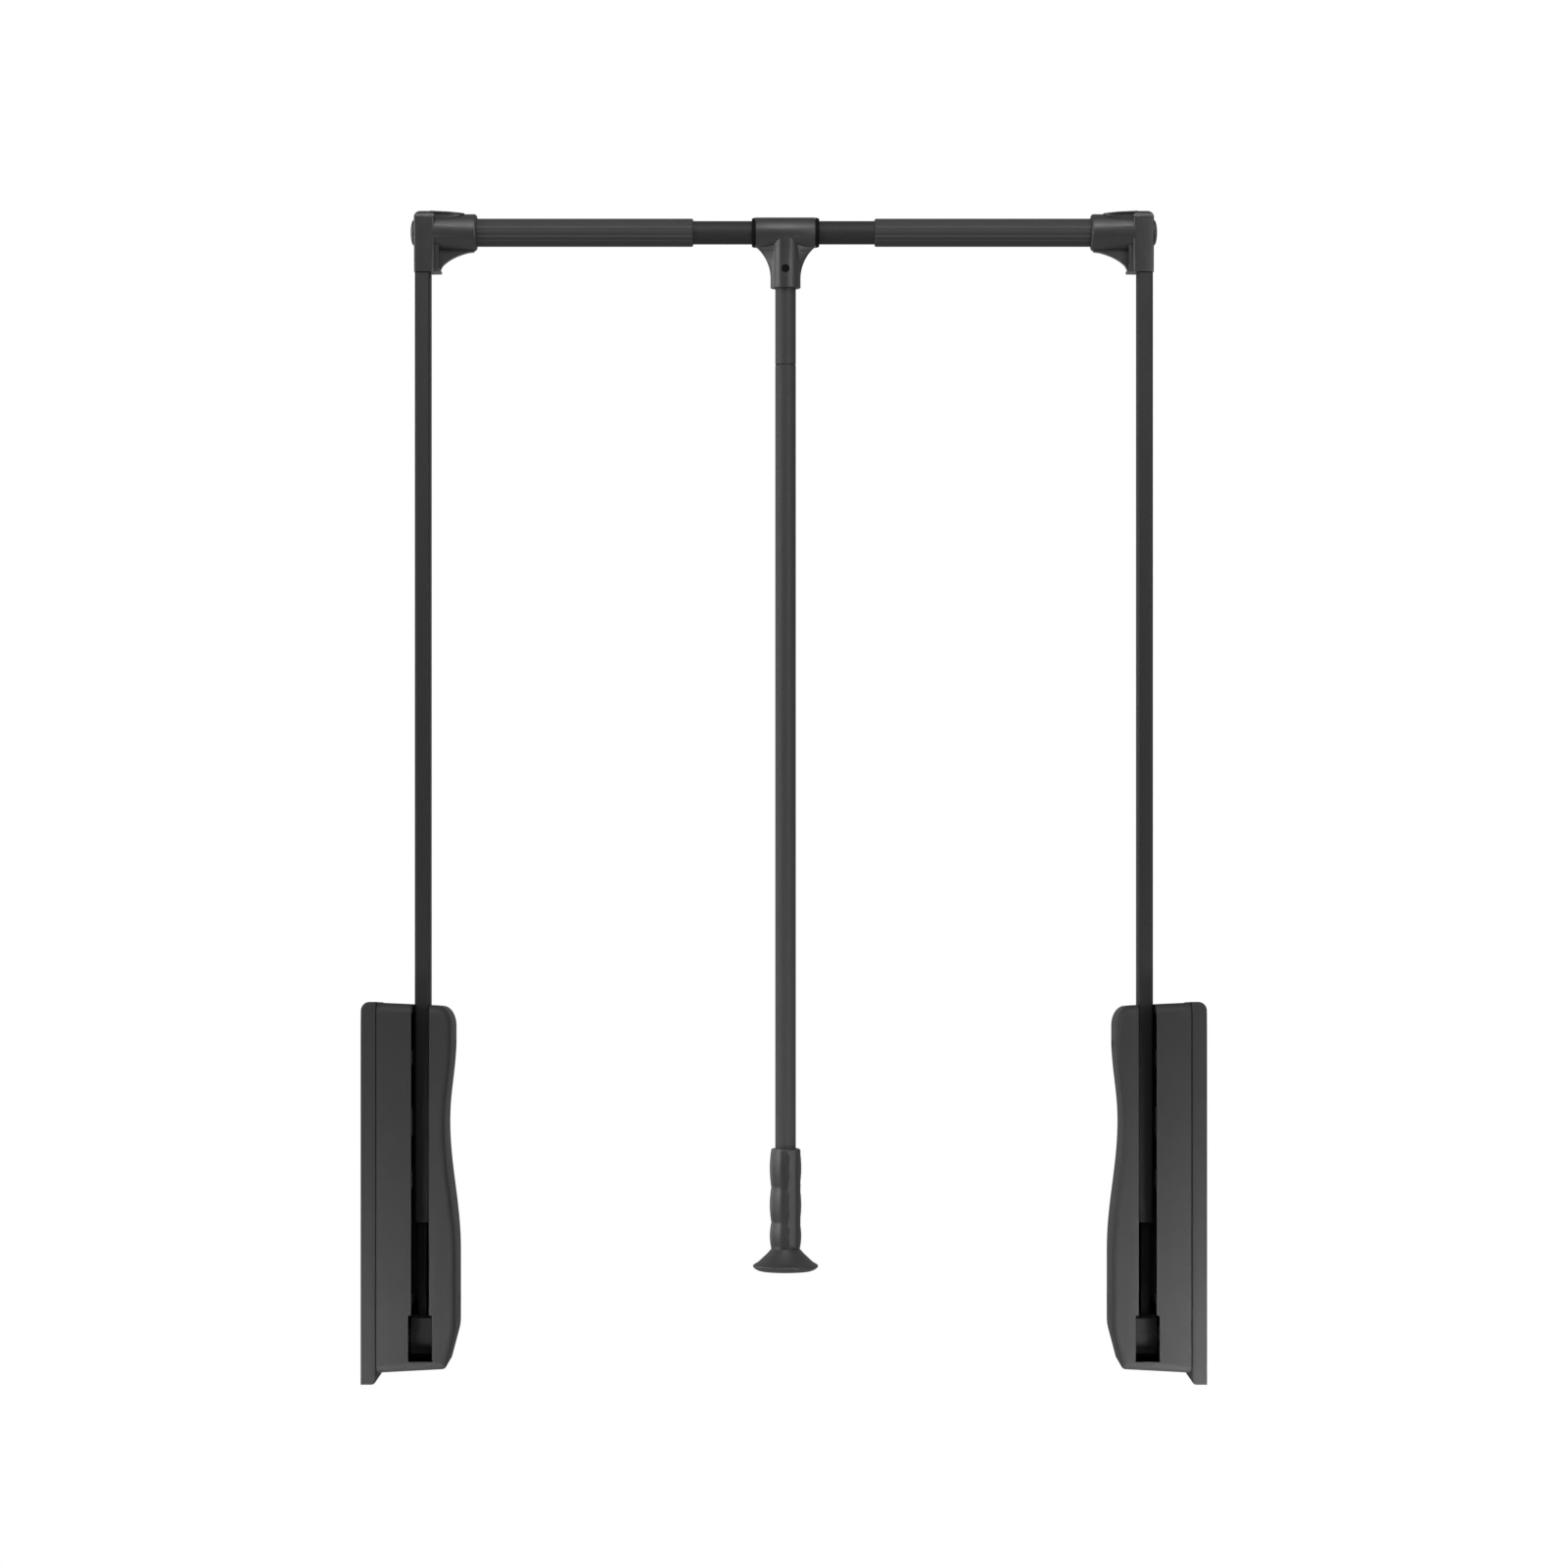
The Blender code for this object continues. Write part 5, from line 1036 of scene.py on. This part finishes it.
def pull_tee():
    """Barrel on the rail, stem for the rod, and hollow-curved gussets between them."""
    tee = bar("pull_tee_moulding", "X", ROD - TEE_HALF, ROD + TEE_HALF, (0, RAIL), TEE_RADIUS)
    round_over(tee, TEE_EDGE, 2, lambda a, b: abs(a.x - b.x) < LEVEL)
    post = bar("stem", "Z", STEM_FOOT, STEM_TOP, (ROD, 0), STEM_RADIUS)
    round_over(post, STEM_EDGE, 3, lambda a, b: max(a.z, b.z) < STEM_EDGE_BELOW)
    weld(tee, post)
    outline = [(0.0, WEB_LOW)]
    outline += [(WEB_CORE, WEB_LOW + WEB_STEP * step) for step in range(WEB_STEPS)]
    outline += [(0.0, WEB_TOP)]
    web = turned("web", outline, "Z", (ROD, 0, RAIL), GRIP_SIDES)
    flare(web)
    weld(tee, web)
    carve(tee, bar("bore", "X", ROD - TEE_BORE_REACH, ROD + TEE_BORE_REACH, (0, RAIL), TEE_BORE))
    carve(tee, bar("rod_hole", "Z", STEM_ROD_HOLE_FOOT, STEM_ROD_HOLE_TOP, (ROD, 0), STEM_ROD_HOLE))
    mouth, floor, radius = SCREW_HEAD_HOLE
    carve(tee, bar("head_hole", "Y", mouth, floor, (ROD, ROD_SCREW_HEIGHT), radius, HOLE_SIDES))
    carve(tee, rod_screw_hole())
    merge_close(tee)
    fit(smooth(tee), GREY_PLASTIC, "pull_rod", "moulded_plastic", "pull_tee")


def pull_rods():
    """Upper and lower tube of the rod, butted with a hairline joint."""
    for name, top, foot in ROD_PARTS:
        tube = turned(f"pull_rod_{name}_wall", tube_profile(ROD_RADIUS, ROD_RIM, ROD_BORE, foot, top), "Z",
                      (ROD, 0, 0))
        if name == "upper":
            carve(tube, rod_screw_hole())
            merge_close(tube)
        fit(smooth(tube), TUBE_COAT, "pull_rod", "coated_metal", f"pull_rod_{name}")


def palm_reach(turn, bulge):
    """How far the grip reaches at a turn from its front: flat finger side on the left, plain spine on the right."""
    if SPINE_EDGE < turn < SPINE_END:
        return min(SPINE_FLAT / math.cos(turn - SPINE_TURN), BULGE)
    if turn > SPINE_EDGE or turn < FINGER_END:
        return bulge
    closeness = BULGE ** -EASE
    for reach, facing in ((FINGER_FLAT, 0.0), (SHOULDER_FLAT, SHOULDER_TURN)):
        if abs(turn - facing) < FLAT_REACH:
            closeness += (reach / math.cos(turn - facing)) ** -EASE
    return closeness ** (-1 / EASE) * bulge / BULGE


def handle_grip():
    """Grip with three finger bulges, a flared cone and a rounded foot rim."""
    bore_floor = GRIP_TOP - GRIP_BORE_DEPTH
    outline = [(0.0, bore_floor), (GRIP_BORE, bore_floor), (GRIP_BORE, GRIP_TOP)]
    outline += [(radius, GRIP_TOP - drop) for radius, drop in GRIP_MOUTH]
    height, above = GRIP_TOP, GRIP_MOUTH[-1][0]
    for length in BULGE_LENGTHS:
        for step in range(1, BULGE_STEPS):
            share = step / BULGE_STEPS
            neck = above + (GRIP_NECK - above) * share
            swell = math.sin(math.pi * share) ** BULGE_FULLNESS
            outline.append((neck + (BULGE - neck) * swell, height - length * share))
        height -= length
        above = GRIP_NECK
        outline.append((above, height))
    outline += [(radius, height - drop) for radius, drop in FOOT_CONE]
    grip = turned("handle_grip_moulding", outline, "Z", (ROD, 0, 0), GRIP_SIDES)
    for place in grip.data.vertices:
        across, ahead = place.co.x - ROD, -place.co.y
        bulge = math.hypot(across, ahead)
        if bulge > GRIP_PLAIN and height < place.co.z < GRIP_TOP - GRIP_MOUTH_ZONE:
            turn = math.atan2(across, ahead)
            blend = min(1.0, (place.co.z - height) / GRIP_BLEND)
            reach = bulge + (palm_reach(turn, bulge) - bulge) * blend
            place.co.x, place.co.y = ROD + reach * math.sin(turn), -reach * math.cos(turn)
    fit(smooth(grip, 24), GREY_PLASTIC, "pull_rod", "moulded_plastic", "handle_grip")


# Inner pieces

def strut_springs():
    """Coil springs round the struts, wound from a circle of wire and closed at their ends."""
    low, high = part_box("left_strut_spring")
    let_go()
    bpy.ops.mesh.primitive_circle_add(vertices=SPRING_WIRE_SIDES, radius=SPRING_WIRE, location=(SPRING_COIL, 0, 0),
                                      rotation=(math.pi / 2, 0, 0))
    spring = added("left_strut_coil_spring")
    winding = spring.modifiers.new("winding", "SCREW")
    winding.axis = "Z"
    winding.screw_offset = SPRING_PITCH
    winding.iterations = SPRING_TURNS
    winding.steps = winding.render_steps = SPRING_COIL_SIDES
    apply(spring, winding)
    take(spring)
    bpy.ops.object.mode_set(mode="EDIT")
    bpy.ops.mesh.select_all(action="SELECT")
    bpy.ops.mesh.fill_holes(sides=0)
    bpy.ops.mesh.select_all(action="SELECT")
    bpy.ops.mesh.normals_make_consistent(inside=False)
    bpy.ops.transform.translate(value=((low.x + high.x) / 2, (low.y + high.y) / 2, SPRING_FOOT))
    let_go()
    smooth(spring)
    twin = mirrored(spring, "right_strut_coil_spring")
    for side, piece in (("left", spring), ("right", twin)):
        fit(piece, ZINC, f"{side}_side_unit", "plated_steel", f"{side}_strut_spring")
        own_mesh(piece)


def dress_inner_pieces():
    """Finishes for the solids that keep their own shape."""
    finishes = {"pin": ZINC, "screw": ZINC, "rivet": GREY_COAT, "bolt": ZINC, "strut_rod": ZINC, "bush": NYLON,
                "bumper": RUBBER, "cylinder": GREY_COAT, "plug": GREY_PLASTIC, "joiner": GREY_PLASTIC,
                "rod_screw": BLACK_PLASTIC}
    for name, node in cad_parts.items():
        for word, finish in finishes.items():
            if word in name:
                node.data.materials.clear()
                node.data.materials.append(finish)


# Studio

def soft_light(name, at, towards, wide, high, power, beam=180):
    """Soft box that faces a point; a beam below 180 degrees is kept in by a grid."""
    let_go()
    bpy.ops.object.light_add(type="AREA", location=at)
    lamp = bpy.context.object
    lamp.name = name
    lamp.data.shape = "RECTANGLE"
    lamp.data.size = wide
    lamp.data.size_y = high
    lamp.data.energy = power
    lamp.data.spread = math.radians(beam)
    lamp.rotation_euler = (Vector(towards) - Vector(at)).to_track_quat("-Z", "Y").to_euler()
    lamp.visible_camera = False
    return lamp


def figure(nodes, links, operation, first, second):
    """One sum on two values."""
    sum_node = nodes.new("ShaderNodeMath")
    sum_node.operation = operation
    links.new(first, sum_node.inputs[0])
    links.new(second, sum_node.inputs[1])
    return sum_node.outputs["Value"]


def shown_rays(nodes, links):
    """One for what the camera sees, and for the screen behind the lift as gloss and glass show it."""
    rays = nodes.new("ShaderNodeLightPath")
    way, split, screen = (nodes.new(f"ShaderNode{kind}") for kind in ("TexCoord", "SeparateXYZ", "MapRange"))
    links.new(way.outputs["Generated"], split.inputs["Vector"])
    links.new(split.outputs["Y"], screen.inputs["Value"])
    screen.interpolation_type = "SMOOTHSTEP"
    screen.inputs["From Min"].default_value = SCREEN_EDGE
    screen.inputs["From Max"].default_value = SCREEN_FULL
    shiny = figure(nodes, links, "MAXIMUM", rays.outputs["Is Glossy Ray"], rays.outputs["Is Transmission Ray"])
    shiny = figure(nodes, links, "MULTIPLY", shiny, screen.outputs["Result"])
    return figure(nodes, links, "MAXIMUM", rays.outputs["Is Camera Ray"], shiny)


def studio_air(fill):
    """White all round to the eye, a white screen behind the lift, and a low fill, dimmer about the camera."""
    world = bpy.data.worlds.new("studio_air")
    bpy.context.scene.world = world
    world.use_nodes = True
    nodes, links = world.node_tree.nodes, world.node_tree.links
    nodes.clear()
    light, white = nodes.new("ShaderNodeBackground"), nodes.new("ShaderNodeBackground")
    light.inputs["Color"].default_value = (1, 1, 1, 1)
    way, split, dim = (nodes.new(f"ShaderNode{kind}") for kind in ("TexCoord", "SeparateXYZ", "MapRange"))
    links.new(way.outputs["Generated"], split.inputs["Vector"])
    links.new(split.outputs["Y"], dim.inputs["Value"])
    for side, value in (("From Min", -1.0), ("From Max", AIR_DIM_TO), ("To Min", AIR_NEAR_CAMERA * fill),
                        ("To Max", fill)):
        dim.inputs[side].default_value = value
    links.new(dim.outputs["Result"], light.inputs["Strength"])
    white.inputs["Color"].default_value = (1, 1, 1, 1)
    white.inputs["Strength"].default_value = 1.0
    choice, out = nodes.new("ShaderNodeMixShader"), nodes.new("ShaderNodeOutputWorld")
    links.new(shown_rays(nodes, links), choice.inputs["Fac"])
    links.new(light.outputs["Background"], choice.inputs[1])
    links.new(white.outputs["Background"], choice.inputs[2])
    links.new(choice.outputs["Shader"], out.inputs["Surface"])


def studio_floor():
    """Pale round floor well below the lift; it keeps the shadow and fades to the white air at its rim."""
    let_go()
    bpy.ops.mesh.primitive_circle_add(vertices=FLOOR_SIDES, radius=FLOOR_REACH, fill_type="NGON",
                                      location=(MIDDLE, 0, FLOOR_LEVEL))
    floor = added("studio_floor")
    finish, nodes, links = new_finish("pale_floor_paint")
    paint = nodes["Principled BSDF"]
    flecks = specks(nodes, links, scale=60, detail=4)
    links.new(tones(nodes, links, flecks, dark=(0.66, 0.66, 0.66), light=(0.70, 0.70, 0.70)),
              paint.inputs["Base Color"])
    paint.inputs["Roughness"].default_value = 0.8
    places, reach, fade, rays, glow, choice = (
        nodes.new(f"ShaderNode{kind}")
        for kind in ("TexCoord", "VectorMath", "MapRange", "LightPath", "Emission", "MixShader"))
    reach.operation = "LENGTH"
    links.new(places.outputs["Object"], reach.inputs[0])
    links.new(reach.outputs["Value"], fade.inputs["Value"])
    for socket, value in (("From Min", FLOOR_FADE_FROM * FLOOR_REACH), ("From Max", FLOOR_FADE_TO * FLOOR_REACH),
                          ("To Min", FLOOR_GLOW), ("To Max", 1.0)):
        fade.inputs[socket].default_value = value
    links.new(figure(nodes, links, "MULTIPLY", rays.outputs["Is Camera Ray"], fade.outputs["Result"]),
              choice.inputs["Fac"])
    links.new(paint.outputs["BSDF"], choice.inputs[1])
    links.new(glow.outputs["Emission"], choice.inputs[2])
    links.new(choice.outputs["Shader"], nodes["Material Output"].inputs["Surface"])
    floor.data.materials.append(finish)


def studio_lights():
    """Soft boxes on both sides and above, and two low ones for the side units that don't show in gloss."""
    middle, top = (MIDDLE, 0, 0.42), (MIDDLE, 0, 0.75)
    soft_light("left_back_box", (-1.5, 0.8, 0.6), middle, wide=0.8, high=1.7, power=7.2)
    soft_light("left_front_box", (-1.7, -0.9, 0.75), middle, wide=0.8, high=1.7, power=13.5)
    soft_light("right_front_box", (1.9, -1.9, 0.7), middle, wide=0.7, high=1.7, power=11)
    soft_light("top_front_box", (0.3, -1.75, 2.3), top, wide=1.8, high=0.7, power=16)
    soft_light("top_high_box", (0.3, -0.9, 2.7), top, wide=1.8, high=0.7, power=3.5)
    for name, at, towards, power in (("low_left_box", (-0.20, -0.42, -0.40), (0.03, 0, -0.02), 0.39),
                                     ("low_right_box", (0.80, -0.42, -0.40), (0.57, 0, -0.02), 0.60)):
        low_box = soft_light(name, at, towards, wide=0.26, high=0.26, power=power, beam=36)
        low_box.visible_glossy = False


def photographer():
    """Camera level with the middle of the lift, square to it."""
    let_go()
    bpy.ops.object.camera_add(location=CAMERA_PLACE, rotation=(math.pi / 2, 0, 0))
    camera = bpy.context.object
    camera.data.sensor_width = CAMERA_SENSOR
    camera.data.lens = CAMERA_LENS
    bpy.context.scene.camera = camera
    bpy.context.scene.view_settings.view_transform = "Standard"


photographer()
studio_air(AIR_FILL)
studio_floor()
studio_lights()

wall_plate()
side_cover()
swing_hub()
arm_tube()
elbow()
elbow_cap()
rail_outer_tube()
rail_inner_tube()
tee_collars()
pull_tee()
pull_rods()
handle_grip()
strut_springs()
dress_inner_pieces()
